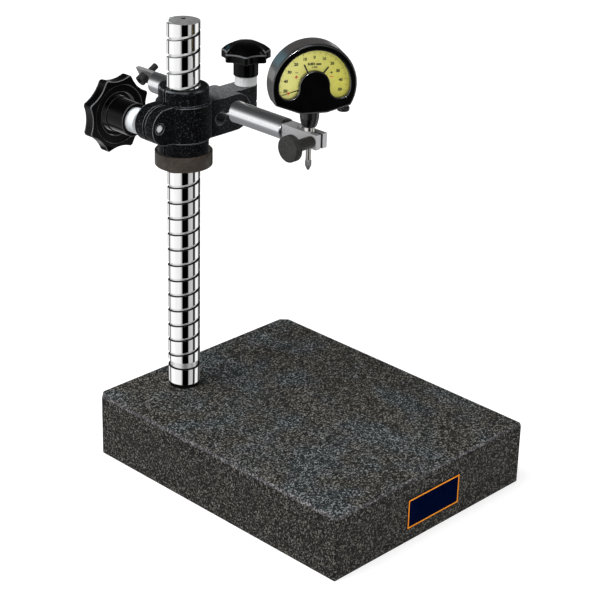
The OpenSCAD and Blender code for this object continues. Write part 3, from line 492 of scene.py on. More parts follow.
def clear_pane():
    """Clear pane: lets the dial through and keeps a faint gloss, with a trace of wiping marks."""
    material, tree, shader, where = blank("clear_pane", Alpha=0.03, Specular_IOR_Level=0.3)
    wipe = grain(tree, where, 120.0, 3.0, 0.6, (1.0, 1.0, 4.0))
    paint(shader, "Base Color", ramp(tree, wipe, (0.3, (0.02, 0.02, 0.02)), (0.8, (0.05, 0.05, 0.05))))
    paint(shader, "Roughness", span(tree, wipe, 0.3, 0.7, 0.03, 0.08))
    material.surface_render_method = "BLENDED"
    return material


def dial_yellow():
    """Printed dial: yellow enamel with fine paper-like mottle, painted paler on its left and deeper on its right
    as light and shade.
    """
    material, tree, shader, where = blank("dial_yellow", Specular_IOR_Level=0.2)
    mottle = grain(tree, where, 500.0)
    side = dot(tree, where, GAUGE[1])
    face = ramp(tree, mottle, (0.3, (0.62, 0.585, 0.095)), (0.7, (0.69, 0.65, 0.125)))
    lit_yellow = ramp(tree, mottle, (0.3, (0.9, 0.87, 0.27)), (0.7, (0.95, 0.92, 0.32)))
    # painted light: paler towards the left, deeper towards the right
    paint(shader, "Base Color", blend(tree, span(tree, side, -0.024, 0.016), lit_yellow, face))
    paint(shader, "Roughness", span(tree, mottle, 0.3, 0.7, 0.5, 0.62))
    return material


# dark and light tone, cells per metre, roughness, depth of the pits, softening of the edges, specular level
SATIN = {
    "barrel_grey": ((0.026, 0.0245, 0.024), (0.042, 0.039, 0.037), 60.0, 0.22, 0.0, 0.4, 0.6),
    "black_ring": ((0.0012, 0.0012, 0.0012), (0.003, 0.003, 0.003), 800.0, 0.55, 0.05, 0.3, 0.05),
    "black_oxide": ((0.012, 0.0118, 0.0115), (0.03, 0.029, 0.028), 700.0, 0.45, 0.05, 0.3, 0.25),
    "nut_brown": ((0.028, 0.021, 0.0155), (0.05, 0.039, 0.03), 420.0, 0.45, 0.06, 0.5, 0.3),
    # one white nylon in two tones as painted light and shade: the column clamp's spacer darker as it stands in
    # the light, the arm clamp's spacer paler as it lies in the star knob's shade
    "white_nylon": ((0.53, 0.56, 0.58), (0.61, 0.63, 0.65), 300.0, 0.42, 0.04, 0.5),
    "nylon_brightened_in_shade": ((0.86, 0.87, 0.87), (0.94, 0.95, 0.95), 300.0, 0.42, 0.04, 0.5),
    "hand_black": ((0.004, 0.004, 0.004), (0.01, 0.01, 0.01), 900.0, 0.4, 0.01, 0.0),
    "mark_black": ((0.002, 0.002, 0.0015), (0.006, 0.006, 0.004), 1500.0, 0.6, 0.0, 0.0),
    "mark_red": ((0.62, 0.03, 0.02), (0.78, 0.05, 0.035), 1500.0, 0.55, 0.0, 0.0),
    "label_blue": ((0.0006, 0.0026, 0.017), (0.001, 0.004, 0.024), 260.0, 0.5, 0.02, 0.0, 0.0),
    "label_orange": ((0.86, 0.27, 0.008), (0.95, 0.33, 0.012), 300.0, 0.5, 0.02, 0.0, 0.1),
}
# tone, roughness, length of the scratches
STEEL = {
    "bright_steel": ((0.72, 0.7, 0.67), 0.16, 0.2),
    "tip_steel": ((0.34, 0.34, 0.34), 0.34, 0.3),
    "brass": ((0.62, 0.46, 0.22), 0.28, 0.5),
}
# tone, specular level, roughness
GLOSS = {
    "knob_black": ((0.0005, 0.0005, 0.0006), 0.09, 0.11),
    "gauge_black": ((0.002, 0.002, 0.0024), 0.6, 0.16),
}
FINISH = {
    "granite": granite(), "chrome": chrome(), "cast_black": cast_black(), "front_black": front_black(),
    "arm_steel": arm_steel(), "stud_steel": stud_steel(), "clear": clear_pane(), "dial_yellow": dial_yellow(),
}
for make, looks in ((satin, SATIN), (ground_steel, STEEL), (black_gloss, GLOSS)):
    FINISH.update({name: make(name, *look) for name, look in looks.items()})

NODE_FINISH = {
    "granite_base": "granite", "column_seat_ring": "black_ring", "column_bolt": "black_oxide",
    "column_bolt_washer": "bright_steel", "thrust_washer": "brass", "height_nut": "nut_brown",
    "carriage_body": "cast_black", "column_clamp_spacer": "white_nylon", "column_clamp_knob": "knob_black",
    "column_clamp_stud": "stud_steel", "arm_clamp_spacer": "nylon_brightened_in_shade", "arm_clamp_knob": "knob_black",
    "arm_clamp_stud": "bright_steel", "arm_bar": "arm_steel", "gauge_clamp_screw": "black_oxide",
    "arm_stop_screw": "black_oxide", "gauge_housing": "barrel_grey", "gauge_front_cover": "front_black",
    "gauge_window": "clear", "gauge_back_cover": "gauge_black", "back_cover_screws": "bright_steel",
    "dial_plate": "dial_yellow", "dial_pillars": "brass", "hand_bush": "brass", "low_limit_hand": "hand_black",
    "high_limit_hand": "hand_black", "pointer": "hand_black", "pointer_arbor": "bright_steel",
    "hairspring": "brass", "sector_lever": "brass", "sector_pivot": "bright_steel", "movement_plate": "brass",
    "stem_collar": "gauge_black", "gauge_stem": "bright_steel", "stem_bush": "brass",
    "measuring_spindle": "bright_steel", "measuring_spring": "bright_steel", "contact_tip": "tip_steel",
    "zero_adjust_knob": "gauge_black", "column": "chrome",
}
for name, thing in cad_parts.items():
    thing.data.materials.clear()
    thing.data.materials.append(FINISH[NODE_FINISH[name]])


# ---------------------------------------------------------------- the stand

def granite_slab(width=200.0, depth=250.0, height=50.0, edge=3.2, cuts=(2.0, 6.0, 6.0, 0.8)):
    """Slab: an eight-sided outline, sides shortened by the corner cuts, carried up a profile (inset, height)
    of bottom bevel, side, quarter-round edge and flat top; an inset moves each side in and shrinks the cuts.
    A flat face closes it below and on top, each half of its last outline pulled to the middle line."""
    bow = np.radians(np.linspace(0, 90, 13))
    inset = np.concatenate([[70, 30, 1.0, 0.3, 0.0, 0.0], edge * (1 - np.cos(bow)),
                            [edge + 12, edge + 45, edge + 80]])
    level = np.concatenate([[0, 0, 0, 0.3, 1.0, height - edge - 6], height - edge + edge * np.sin(bow),
                            [height] * 3])
    half = np.array([[width / 2, depth / 2]]) - inset[:, None]
    corner = np.maximum(np.array([cuts]) - 0.55 * inset[:, None], 0.5)
    sx, sy = np.array([1, 1, -1, -1]), np.array([-1, 1, 1, -1])
    odd = sx * sy < 0
    first, second = (np.stack([sx * half[:, :1] - np.where(cut_x, sx, 0) * corner,
                               sy * half[:, 1:] - np.where(cut_x, 0, sy) * corner], -1)
                     for cut_x in (odd, ~odd))
    ring = np.stack([first, second], 2).reshape(len(inset), 8, 2)
    share = np.linspace(0, 1, 8, endpoint=False)[None, None, :, None]
    ring = ring[:, :, None] * (1 - share) + np.roll(ring, -1, 1)[:, :, None] * share
    ring = ring.reshape(len(inset), 64, 2)
    slab = np.concatenate([ring, np.broadcast_to(level[:, None, None], (len(inset), 64, 1))], -1)
    closes = [skin(np.stack([outline, outline * [0.0, 1.0, 1.0]])) for outline in (slab[0], slab[-1])]
    return together(skin(slab), *closes)


lay("granite_slab", granite_slab(), "stand", "granite", ["granite_base"], crease=40)


def chrome_column(radius=12.0, floor=10.5, width=2.7, pitch=12.3, start=68.5, turn=-74.6, low=53.0, top=334.6,
                  crown=1.4, relief_low=65.7, relief_high=71.3, relief_floor=10.3, hole=1.6, hole_floor=330.0,
                  count=112):
    """Column: the cross profile of groove and land, one pitch high, is carried up a helix and held between
    the relief and the top; turned shells close the foot, the relief and the crowned end with its centre hole.
    Beside the shell comes a value for each point, 1 where painted shade darkens the metal."""
    half = width / 2
    rise = np.array([-half, -half, -half, -half + 0.15, -half + 0.5, -half + 0.8,
                     half - 0.15, half, half, half, pitch - half])
    deep = radius - np.array([0, 0.05, 1.35, 1.5, 1.5, 1.5, 1.5, 1.35, 0.05, 0, 0]) * (radius - floor) / 1.5
    # share of painted shade across the groove: dark on its walls and floor corners
    painted_shade = np.array([0, 1, 1, 1, 1, 0, 0, 1, 1, 0, 0])
    turns = (top + width - start) / pitch
    along = np.arange(-count, int(turns * count) + 1)[:, None] / count
    angle = math.radians(turn) + 2 * np.pi * along
    z = np.clip(start + pitch * along + rise[None, :], relief_high, top)
    r = np.broadcast_to(deep[None, :], z.shape)
    points, quads = skin(np.stack([r * np.cos(angle), r * np.sin(angle), z], -1), wrap_across=False)
    thread = (points, quads[np.ptp(points[quads][:, :, 2], axis=1) > 1e-6])
    profile = eased([(0, low, 0), (radius, low, 0), (radius, low + 0.9, 0), (radius, relief_low - 0.4, 0),
                     (radius, relief_low, 0), (radius - 0.1, relief_low, 1), (relief_floor, relief_low, 1),
                     (relief_floor, relief_low + 0.45, 1), (relief_floor, relief_low + 0.7, 0),
                     (relief_floor, relief_high - 0.3, 0), (relief_floor, relief_high, 0.5),
                     (radius, relief_high, 0)],
                    [0, 0.5, 0, 0, 0.05, 0, 0.1, 0, 0, 0, 0.1, 0])
    foot = turned(profile[:, :2], count)
    around = np.linspace(0, 2 * np.pi, 4 * count, endpoint=False)[None, :]
    groove = start + pitch * ((around - math.radians(turn)) / (2 * np.pi))
    groove = groove + pitch * np.round((top - groove) / pitch)
    outer = np.where(np.abs(top - groove) < half, floor, radius)
    ring = np.array([0.0, 0.37, 0.6, 0.82, 0.95, 1.0])[:, None]
    face = hole + ring * (outer - hole)
    swell = top + crown * np.array([1.0, 1.0, 0.72, 0.34, 0.1, 0.0])[:, None]
    face = np.stack([face * np.cos(around), face * np.sin(around), np.broadcast_to(swell, face.shape)], -1)
    bore = turned([(0, hole_floor), (hole, hole_floor + 0.8), (hole, top + crown - 0.03)], count)
    points, quads = together(thread, skin(foot), skin(face), skin(bore))
    # above the carriage the groove's painted shade is lighter on its left
    above_carriage = along * pitch + start > 280
    lighter_left = np.clip((0.2 - np.cos(angle - math.radians(314))) / 0.9, 0, 1) * 0.7 * above_carriage
    # painted shade in the groove, the relief's corner and the centre hole
    dark = np.concatenate([np.ravel((1 - lighter_left) * painted_shade[None, :]), np.repeat(profile[:, 2], count),
                           np.zeros(face.size // 3), np.ones(bore.size // 3)])
    return (points + [COLUMN_X, COLUMN_Y, 0], quads), dark


column, painted_shade = chrome_column()
lay("chrome_column", column, "stand", "chrome", ["column"], crease=30, gloss=painted_shade)


def label_plate(left=-26.9, right=29.1, low=10.4, high=34.8, face=-125.0, thick=0.3):
    """Plate: a rectangle carried forward from the granite over a rounded edge (inset, stand-off)."""
    inset = np.array([0.0, 0.0, 0.12, 0.3, (high - low) / 2])
    off = np.array([0.0, thick * 0.6, thick * 0.92, thick, thick])
    x = np.stack([left + inset, right - inset, right - inset, left + inset], 1)
    z = np.stack([low + inset, low + inset, high - inset, high - inset], 1)
    return np.stack([x, np.broadcast_to(face - off[:, None], x.shape), z], -1)


def label_border(width=1.15, face=-125.33):
    """Border: one row of a smaller plate laid on the first, and the same row moved in by the border's width."""
    rows = label_plate(-26.4, 28.6, 10.9, 34.3)[[2, 2]]
    rows[:, :, 1] = face
    rows[1] += width * np.array([[1, 0, 1], [-1, 0, 1], [-1, 0, -1], [1, 0, -1]])
    return rows


lay("label_plate", skin(label_plate()), "stand", "label_blue", closed=False, crease=60)
lay("label_border", skin(label_border()), "stand", "label_orange", closed=False)


# ---------------------------------------------------------------- knobs and screws

def lobed_knob(corners, radii, edge_highlight, rim, count=192):
    """Knob: a profile with rounded corners, turned with a lobed rim. Beside the points comes the painted
    highlight at each of them, its corner's share, which fades towards both ends of the rounding."""
    fade = [0, 0.5, 1, 1, 1, 0.5, 0]
    edge_highlight = np.repeat(edge_highlight, len(fade)) * np.tile(fade, len(edge_highlight))
    return turned(eased(corners, radii, len(fade)), count, rim), np.repeat(edge_highlight, count)


def clamp_knob(tip=28.5):
    """Eight-lobed knob: hub with a cup for the spacer, ring groove and step in its front, rounded lobed rim,
    low dome."""
    corners = [(4.2, 11.0, 0), (9.8, 8.6, 0), (9.8, 7.4, 0), (12.2, 7.4, 0), (12.2, 24.2, 0), (13.2, 24.2, 0),
               (13.2, 29.2, 0), (16.0, 29.2, 0), (16.0, 25.4, 0), (21.5, 25.4, 0), (21.5, 24.2, 0),
               (tip, 24.2, 1), (tip, 33.2, 1), (22.0, 35.4, 0.35), (12.0, 36.1, 0), (0.0, 36.4, 0)]
    radii = [0, 0, 0.2, 0.7, 0.5, 0.4, 0.6, 0.6, 0.6, 0.5, 0.7, 1.0, 2.2, 3.0, 3.0, 0]
    # painted highlight on each corner's rounding
    edge_highlight = [0, 0, 0, 0.5, 0, 0.3, 0, 0, 1.0, 0, 0.8, 1.0, 0.3, 0, 0, 0]
    points, edge_highlight = lobed_knob(corners, radii, edge_highlight, hollows(tip, tip * 0.86, tip * 0.853, 8, 22.5))
    return placed(points, (CLAMP_X, CLAMP_Y, CLAMP_Z), (1, 0, 0), (0, 0, -1), (0, 1, 0)), edge_highlight


def star_knob(tip=18.5):
    """Seven-lobed knob: plain hub, lobed rim with a rounded lower edge, domed top that fades the lobes out."""
    corners = [(3.1, 0.0, 0), (9.2, 0.0, 0), (9.2, 12.2, 0), (tip, 12.2, 1), (tip, 18.2, 1), (14.6, 21.6, 0.55),
               (9.6, 24.2, 0.1), (4.6, 25.3, 0), (0.0, 25.4, 0)]
    radii = [0, 0.6, 0.8, 1.0, 0.9, 2.2, 2.4, 2.0, 0]
    # painted highlight on each corner's rounding
    edge_highlight = [0, 0, 0, 0.2, 1.0, 0, 0, 0, 0]
    points, edge_highlight = lobed_knob(corners, radii, edge_highlight, hollows(tip, tip * 0.82, tip * 0.8, 7, 20.0))
    return points + STAR_FOOT, edge_highlight


knob, edge_highlight = clamp_knob()
lay("clamp_knob", skin(knob), "column_clamp", "knob_black", ["column_clamp_knob"],
    crease=50, gloss=edge_highlight)
knob, edge_highlight = star_knob()
lay("star_knob", skin(knob), "arm_clamp", "knob_black", ["arm_clamp_knob"],
    crease=50, gloss=edge_highlight)


def thumb_screw():
    """Thumb screw: turned head, neck and shank on the X axis; the head's rim carries a diamond knurl."""
    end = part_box("gauge_clamp_screw")[1].x / MM - THUMB_FACE[0]
    profile = np.concatenate([
        eased([(0, 0, 0), (8.7, 0, 0), (8.95, 0.1, 0), (9.45, 0.55, 0)], [0, 0.2, 0.15, 0]),
        knurl_band(9.5, 0.55, 5.45, 30),
        eased([(9.45, 5.45, 0), (8.9, 6.0, 0), (4.25, 6.0, 0), (4.25, 24.1, 0), (2.0, 24.1, 0),
               (2.0, end - 0.3, 0), (1.7, end, 0), (0, end, 0)], [0, 0.2, 0.3, 0.3, 0, 0, 0, 0])])
    return placed(knurled(profile, 360, 46, 2.2, 0.5), THUMB_FACE, (0, 1, 0), (0, 0, 1), (1, 0, 0))


def contact_tip(ball=1.1):
    """Contact tip: knurled barrel, taper and a small ball end, turned about the spindle."""
    bow = np.radians(np.linspace(0, 75, 9))
    profile = np.concatenate([
        np.stack([ball * np.sin(bow), ball * (1 - np.cos(bow)), 0 * bow], 1),
        eased([(1.15, 1.0, 0), (1.75, 2.6, 0), (2.0, 2.9, 0), (2.25, 3.6, 0)], [0, 0.2, 0.2, 0]),
        knurl_band(2.3, 3.7, 7.2, 16),
        eased([(2.25, 7.3, 0), (2.0, 7.8, 0), (0, 7.8, 0)], [0, 0.1, 0])])
    return knurled(profile, 160, 30, 3.0, 0.2) + TIP_END


lay("thumb_screw", skin(thumb_screw()), "gauge_clamp", "black_oxide", ["gauge_clamp_screw"],
    crease=40)
lay("contact_tip_knurled", skin(contact_tip()), "spindle", "tip_steel", ["contact_tip"],
    crease=40)


def spring_coil(wire=0.22, curls=9):
    """Measuring spring: a round wire carried up a helix, each point the helix plus the wire's radius
    outwards times cos and upwards times sin; the wire closes to a point at both ends."""
    low, high = (np.array(corner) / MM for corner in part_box("measuring_spring"))
    along = np.linspace(0, 1, curls * 24 + 1)
    along = np.concatenate([along[:1], along, along[-1:]])[:, None]
    thick = np.full(along.shape, wire)
    thick[[0, -1]] = 0.0
    around = np.linspace(0, 2 * np.pi, 10, endpoint=False)[None, :]
    radius = (high[0] - low[0]) / 2 - wire + thick * np.cos(around)
    z = low[2] + wire + (high[2] - low[2] - 2 * wire) * along + thick * np.sin(around)
    angle = 2 * np.pi * curls * along
    x, y = radius * np.cos(angle), radius * np.sin(angle)
    return np.stack([x, y, z], -1) + [(low[0] + high[0]) / 2, (low[1] + high[1]) / 2, 0.0]


coil = spring_coil()
coil_ends = [tuple(coil[row, 0] * MM) for row in (-1, 0)]
lay("spring_coil", skin(coil), ("gauge", "spindle", *coil_ends), "bright_steel",
    ["measuring_spring"], crease=60)


# ---------------------------------------------------------------- the comparator

WINDOW_SHARES = (64, 48, 64, 48, 64)    # points on the five stretches of the opening
WINDOW_TURN = -1.6
PRINT_TURN, PRINT_SHIFT, PRINT_LEVEL = -1.7, (-0.15, -0.5), 7.225
STEP_TURN = 2.01                        # degrees between ticks


def on_gauge(points):
    """Points in the comparator's frame: X to its right, Y up, Z out of its face."""
    return placed(np.asarray(points, float), *GAUGE)


def rolled(flat, degrees):
    """Flat points turned about the comparator's axis."""
    c, s = math.cos(math.radians(degrees)), math.sin(math.radians(degrees))
    return flat @ np.array([[c, s], [-s, c]])


def arc(radius, start, end, count):
    """Points of a circle from one angle up to the last before another."""
    t = np.linspace(start, end, count, endpoint=False)
    return radius * np.stack([np.cos(t), np.sin(t)], -1)


def housing_outline(count, barrel=30.3, flat=19.7, half_flat=9.3, right=0.27, left=0.39, soft=0.12):
    """Outline of the housing by angle from the top: the soft least of the barrel's circle, the flat underside
    and the two slanted sides beside it."""
    angle = np.pi / 2 - np.linspace(0, 2 * np.pi, count, endpoint=False)
    c, s = np.cos(angle), np.sin(angle)
    slope = np.array([[0.0], [-right], [left]])
    down = s + slope * c
    lines = np.where(down < -1e-3, -(flat + np.abs(slope) * half_flat) / np.minimum(down, -1e-3), 99.0)
    reach = np.concatenate([np.full((1, count), barrel), lines])
    r = reach.min(0) - soft * np.log(np.exp(-(reach - reach.min(0)) / soft).sum(0))
    return np.stack([r * c, r * s], -1)


def window_outline(outer=25.3, inner=11.1, dip=5.34):
    """Horseshoe opening, clockwise from the top: outer arc, half circle, inner arc back over the middle,
    half circle, outer arc."""
    mid, end = (outer + inner) / 2, (outer - inner) / 2
    top, low, tip = np.pi / 2, math.radians(-dip), math.radians(180 + dip)
    a, b, c, d, e = WINDOW_SHARES
    right = mid * np.array([math.cos(low), math.sin(low)]) + arc(end, low, low - np.pi, b)
    left = mid * np.array([math.cos(tip), math.sin(tip)]) + arc(end, tip + np.pi, tip, d)
    loop = np.concatenate([arc(outer, top, low, a), right, arc(inner, low, tip, c), left,
                           arc(outer, tip, top, e)])
    return rolled(loop, WINDOW_TURN)


def shifted(loop, by):
    """Loop moved outwards by a distance along its own normal, the way along it turned a quarter to the left."""
    way = np.roll(loop, -1, 0) - np.roll(loop, 1, 0)
    way = way / np.linalg.norm(way, axis=1, keepdims=True)
    return loop + by * np.stack([-way[:, 1], way[:, 0]], -1)


def front_cover(back=10.6, face=12.0, edge=1.15, fine=1440):
    """Front cover: rows run from the rim's back over a rounded edge and the flat face to the bevelled
    horseshoe opening; every row is a closed loop, paired so that the face's lines never cross.
    Beside the points comes a value for each of them, 1 where the cover is polished and painted paler as
    highlight."""
    window = window_outline()
    n = len(window)
    # degrees of the outline that the five stretches of the opening pair with
    angle = np.array([0.0, 96.0, 142.0, 218.0, 264.0, 360.0]) / 360
    turn = np.interp(np.arange(n), np.concatenate([[0], np.cumsum(WINDOW_SHARES)]), angle)
    rim = housing_outline(fine)
    rim = np.concatenate([rim, rim[:1]])
    rim = np.stack([np.interp(turn * fine, np.arange(fine + 1), rim[:, k]) for k in (0, 1)], -1)
    rows = [(shifted(rim, -0.6), back, 0), (rim, back, 1), (rim, face - edge, 1)]
    rows += [(shifted(rim, -edge * (1 - math.cos(t))), face - edge + edge * math.sin(t), 1)
             for t in np.radians([18, 36, 54, 72, 90])]
    outer, inner = shifted(rim, -1.3), shifted(window, 0.8)
    rows += [(outer + (inner - outer) * k, face, 0) for k in (0.0, 0.12, 0.35, 0.65, 0.88, 1.0)]
    rows += [(shifted(window, by), face - drop, polish_and_highlight) for by, drop, polish_and_highlight in (
        (0.72, 0.0, 1), (0.5, 0.1, 1), (0.2, 0.4, 1), (0.0, 0.8, 1), (0.0, face - back, 1),
        (0.6, face - back, 0))]
    points = np.stack([np.concatenate([p, np.full((n, 1), h)], 1) for p, h, _ in rows])
    return on_gauge(points), np.repeat([polish_and_highlight for _, _, polish_and_highlight in rows], n)


cover, polish_and_highlight = front_cover()
lay("front_cover", skin(cover, wrap_along=True), "gauge", "front_black", ["gauge_front_cover"],
    crease=28, gloss=polish_and_highlight)


def on_dial(flat):
    """Print on the dial: flat points turned and shifted a little, as printed, then carried to the comparator."""
    flat = rolled(np.asarray(flat, float), PRINT_TURN) + PRINT_SHIFT
    return on_gauge(np.concatenate([flat, np.full(flat.shape[:-1] + (1,), PRINT_LEVEL)], -1))


def step_angle(steps):
    """Angle of a step of the scale, counted clockwise from the top."""
    return np.radians(90 - STEP_TURN * np.asarray(steps, float))


def dial_ticks(from_r, to_r, width, steps):
    """Tick marks: narrow rectangles along the radius at each step of the scale."""
    a = step_angle(steps)
    way, side = np.stack([np.cos(a), np.sin(a)], -1), np.stack([-np.sin(a), np.cos(a)], -1)
    r = np.array([from_r, to_r, to_r, from_r])[None, :, None]
    w = np.array([1, 1, -1, -1])[None, :, None] * width / 2
    flat = way[:, None] * r + side[:, None] * w
    return on_dial(flat.reshape(-1, 2)), np.arange(len(steps) * 4).reshape(-1, 4)[:, ::-1]


def dial_words(words):
    """Figures on the dial: each text, at a place and of a size and weight, becomes a flat mesh first, then
    its points are carried to the dial."""
    shells = []
    for text, x, y, size, heavy in words:
        curve = bpy.data.curves.new("word", "FONT")
        curve.body, curve.size, curve.align_x, curve.align_y = text, size, "CENTER", "CENTER"
        curve.offset = heavy
        holder = bpy.data.objects.new("word", curve)
        bpy.context.scene.collection.objects.link(holder)
        flat = holder.to_mesh()
        points = np.empty(len(flat.vertices) * 3)
        flat.vertices.foreach_get("co", points)
        flat.calc_loop_triangles()
        tris = np.empty(len(flat.loop_triangles) * 3, int)
        flat.loop_triangles.foreach_get("vertices", tris)
        shells.append((on_dial(points.reshape(-1, 3)[:, :2] + [x, y]), tris.reshape(-1, 3)))
        holder.to_mesh_clear()
        bpy.data.objects.remove(holder)
        bpy.data.curves.remove(curve)
    return together(*shells)


def bars(places):
    """Flat rectangles (x, y, width, height) on the dial."""
    p = np.asarray(places, float)
    x = p[:, :1] + p[:, 2:3] * np.array([[-0.5, 0.5, 0.5, -0.5]])
    y = p[:, 1:2] + p[:, 3:4] * np.array([[-0.5, -0.5, 0.5, 0.5]])
    return on_dial(np.stack([x, y], -1).reshape(-1, 2)), np.arange(4 * len(p)).reshape(-1, 4)


every = np.arange(-50, 51)
ticks = together(dial_ticks(23.6, 25.0, 0.14, every[every % 5 != 0]),
                 dial_ticks(22.9, 25.0, 0.2, every[(every % 5 == 0) & (every % 10 != 0)]),
                 dial_ticks(22.5, 25.0, 0.26, every[every % 10 == 0]))
FIGURE_R, FIGURE_SIZE, FIGURE_WEIGHT = 19.9, 2.8, 0.15
words = [(str(abs(k)), FIGURE_R * math.cos(step_angle(k)), FIGURE_R * math.sin(step_angle(k)),
          FIGURE_SIZE, FIGURE_WEIGHT) for k in range(-50, 51, 10)]
words += [("0.001 mm", 0.3, 15.2, 2.4, 0.15), ("± 0.05", 0.3, 13.0, 1.6, 0.08)]
black_signs = bars([(-12.3, 9.3, 2.0, 0.45), (12.8, 8.8, 1.9, 0.5), (12.8, 8.8, 0.5, 1.9)])
red_signs = bars([(-12.3, 6.3, 2.1, 0.7), (-12.3, 6.3, 0.7, 2.1), (12.9, 5.9, 2.3, 0.6)])
for name, shell, finish in (("dial_ticks", ticks, "mark_black"),
                            ("dial_figures", dial_words(words), "mark_black"),
                            ("sense_marks_black", black_signs, "mark_black"),
                            ("sense_marks_red", red_signs, "mark_red")):
    lay(name, shell, "gauge", finish, closed=False)


def pointer_spot(radius=0.75, reach=18.8, turn=-105.0, level=9.0):
    """Red spot on the pointer: a low domed disc, rings of falling radius and rising height."""
    a = math.radians(90 - turn)
    ring = np.array([1.0, 1.0, 0.85, 0.5, 0.0])[:, None]
    up = np.array([-0.3, 0.02, 0.08, 0.12, 0.14])[:, None]
    t = np.linspace(0, 2 * np.pi, 24, endpoint=False)[None, :]
    x = reach * math.cos(a) + radius * ring * np.cos(t)
    y = reach * math.sin(a) + radius * ring * np.sin(t)
    return on_gauge(np.stack([x, y, level + up + 0 * x], -1))


lay("pointer_spot", skin(pointer_spot()), "pointer", "mark_red", crease=60)


# ---------------------------------------------------------------- stage, light and camera

FLOOR_REACH = 8.0
CARD_REACH, CARD_NEAR, CARD_LEVEL = 12.0, 2.5, 0.0515
UNDERLAY_X, UNDERLAY_Y, UNDERLAY_LEVEL = (-70.0, 50.0), (0.0, 340.0), 235.0    # millimetres


def sheet(name, corners, finish):
    """Flat sheet of the stage, from its corners."""
    mesh = bpy.data.meshes.new(name)
    mesh.from_pydata(corners, [], [list(range(len(corners)))])
    made = bpy.data.objects.new(name, mesh)
    bpy.context.scene.collection.objects.link(made)
    mesh.materials.append(finish)
    return made


def rectangle(x, y, z):
    return [(x[0], y[0], z), (x[1], y[0], z), (x[1], y[1], z), (x[0], y[1], z)]


def in_sight(tree, path):
    """1 for what the camera sees, straight or through the pane."""
    return calc(tree, "MAXIMUM", path["Is Camera Ray"], path["Is Transmission Ray"])


def pale_floor():
    """Matt pale floor that shows white to the camera where no shadow falls, and far off altogether."""
    material, tree, shader, where = blank("pale_floor", Specular_IOR_Level=0.0, Roughness=1.0,
                                          Emission_Color=WHITE)
    paint(shader, "Base Color", ramp(tree, grain(tree, where, 3.0), (0.3, (0.41, 0.41, 0.41)),
                                     (0.7, (0.43, 0.43, 0.43))))
    path = node(tree, "LightPath").outputs
    seen = calc(tree, "MAXIMUM", in_sight(tree, path), path["Is Glossy Ray"])
    far = span(tree, length(tree, where), 0.6, 1.6, 0.68, 0.95)
    paint(shader, "Emission Strength", calc(tree, "MULTIPLY", seen, far))
    return material


def glow(tree, colour, gone):
    """Finish of a card: it glows in a colour, and is clear where gone is 1."""
    lit = node(tree, "Emission", {"Color": colour, "Strength": 1.0}).outputs[0]
    clear = node(tree, "BsdfTransparent").outputs[0]
    mix = node(tree, "MixShader", {0: gone, 1: lit, 2: clear}).outputs[0]
    tree.links.new(mix, node(tree, "OutputMaterial").inputs[0])


def column_strips(tree, dx, dy, short=1.0):
    """Light that the column mirrors: white with black strips by the angle about the column, counted in
    degrees from the way to the photograph's camera; short is the share of its full turn at which a mirrored
    line of sight lands."""
    to_camera = math.radians(180 + CAMERA_YAW)
    c, s = math.cos(to_camera), math.sin(to_camera)
    ahead = calc(tree, "ADD", calc(tree, "MULTIPLY", dx, c), calc(tree, "MULTIPLY", dy, s))
    aside = calc(tree, "SUBTRACT", calc(tree, "MULTIPLY", dy, c), calc(tree, "MULTIPLY", dx, s))
    turn = calc(tree, "DIVIDE", calc(tree, "ARCTAN2", aside, ahead), short)
    return greys(tree, turn, [(math.radians(d), v) for d, v in (
        (-180, 0.15), (-157, 0.15), (-151, 0.9), (-131, 0.9), (-126, 0.05), (-116, 0.05), (-111, 1.0),
        (-84, 1.15), (-62, 1.0), (-26, 0.92), (-14, 0.5), (-9, 0.0), (31, 0.0), (36, 0.5), (66, 0.62),
        (70, 0.03), (86, 0.03), (91, 0.95), (120, 0.95), (126, 0.05), (180, 0.12))])


def reflector():
    """Card that only mirrors see, with the column's strips; its back is clear, and so is its far part
    but for a perfect mirror, such as the column."""
    material, tree = bare("reflector_card")
    x, y, _ = axes(tree, node(tree, "TexCoord").outputs["Object"])
    dx, dy = calc(tree, "SUBTRACT", x, COLUMN_X * MM), calc(tree, "SUBTRACT", y, COLUMN_Y * MM)
    far = length(tree, node(tree, "CombineXYZ", {0: dx, 1: dy}).outputs[0])
    # close by, a mirrored line of sight lands at 1 - radius / (2 distance) of its full turn
    short = calc(tree, "SUBTRACT", 1.0, calc(tree, "DIVIDE", 0.006, far))
    beyond = calc(tree, "SUBTRACT", span(tree, far, CARD_NEAR - 0.01, CARD_NEAR),
                  node(tree, "LightPath").outputs["Is Singular Ray"])
    gone = calc(tree, "MAXIMUM", node(tree, "NewGeometry").outputs["Backfacing"], beyond)
    glow(tree, column_strips(tree, dx, dy, short), gone)
    return material


def underlay():
    """Small card that only the bar mirrors, close under it: grey, paler towards the left, clear from below
    and clear to a perfect mirror, such as the column."""
    material, tree = bare("underlay")
    across = axes(tree, node(tree, "TexCoord").outputs["Object"])[0]
    shades = greys(tree, across, [(x * MM, v) for x, v in (
        (-70, 0.9), (-62, 0.7), (-44, 0.36), (-30, 0.29), (0, 0.27), (18, 0.22), (50, 0.15))], 1.03)
    gone = calc(tree, "MAXIMUM", node(tree, "NewGeometry").outputs["Backfacing"],
                node(tree, "LightPath").outputs["Is Singular Ray"])
    glow(tree, shades, gone)
    return material


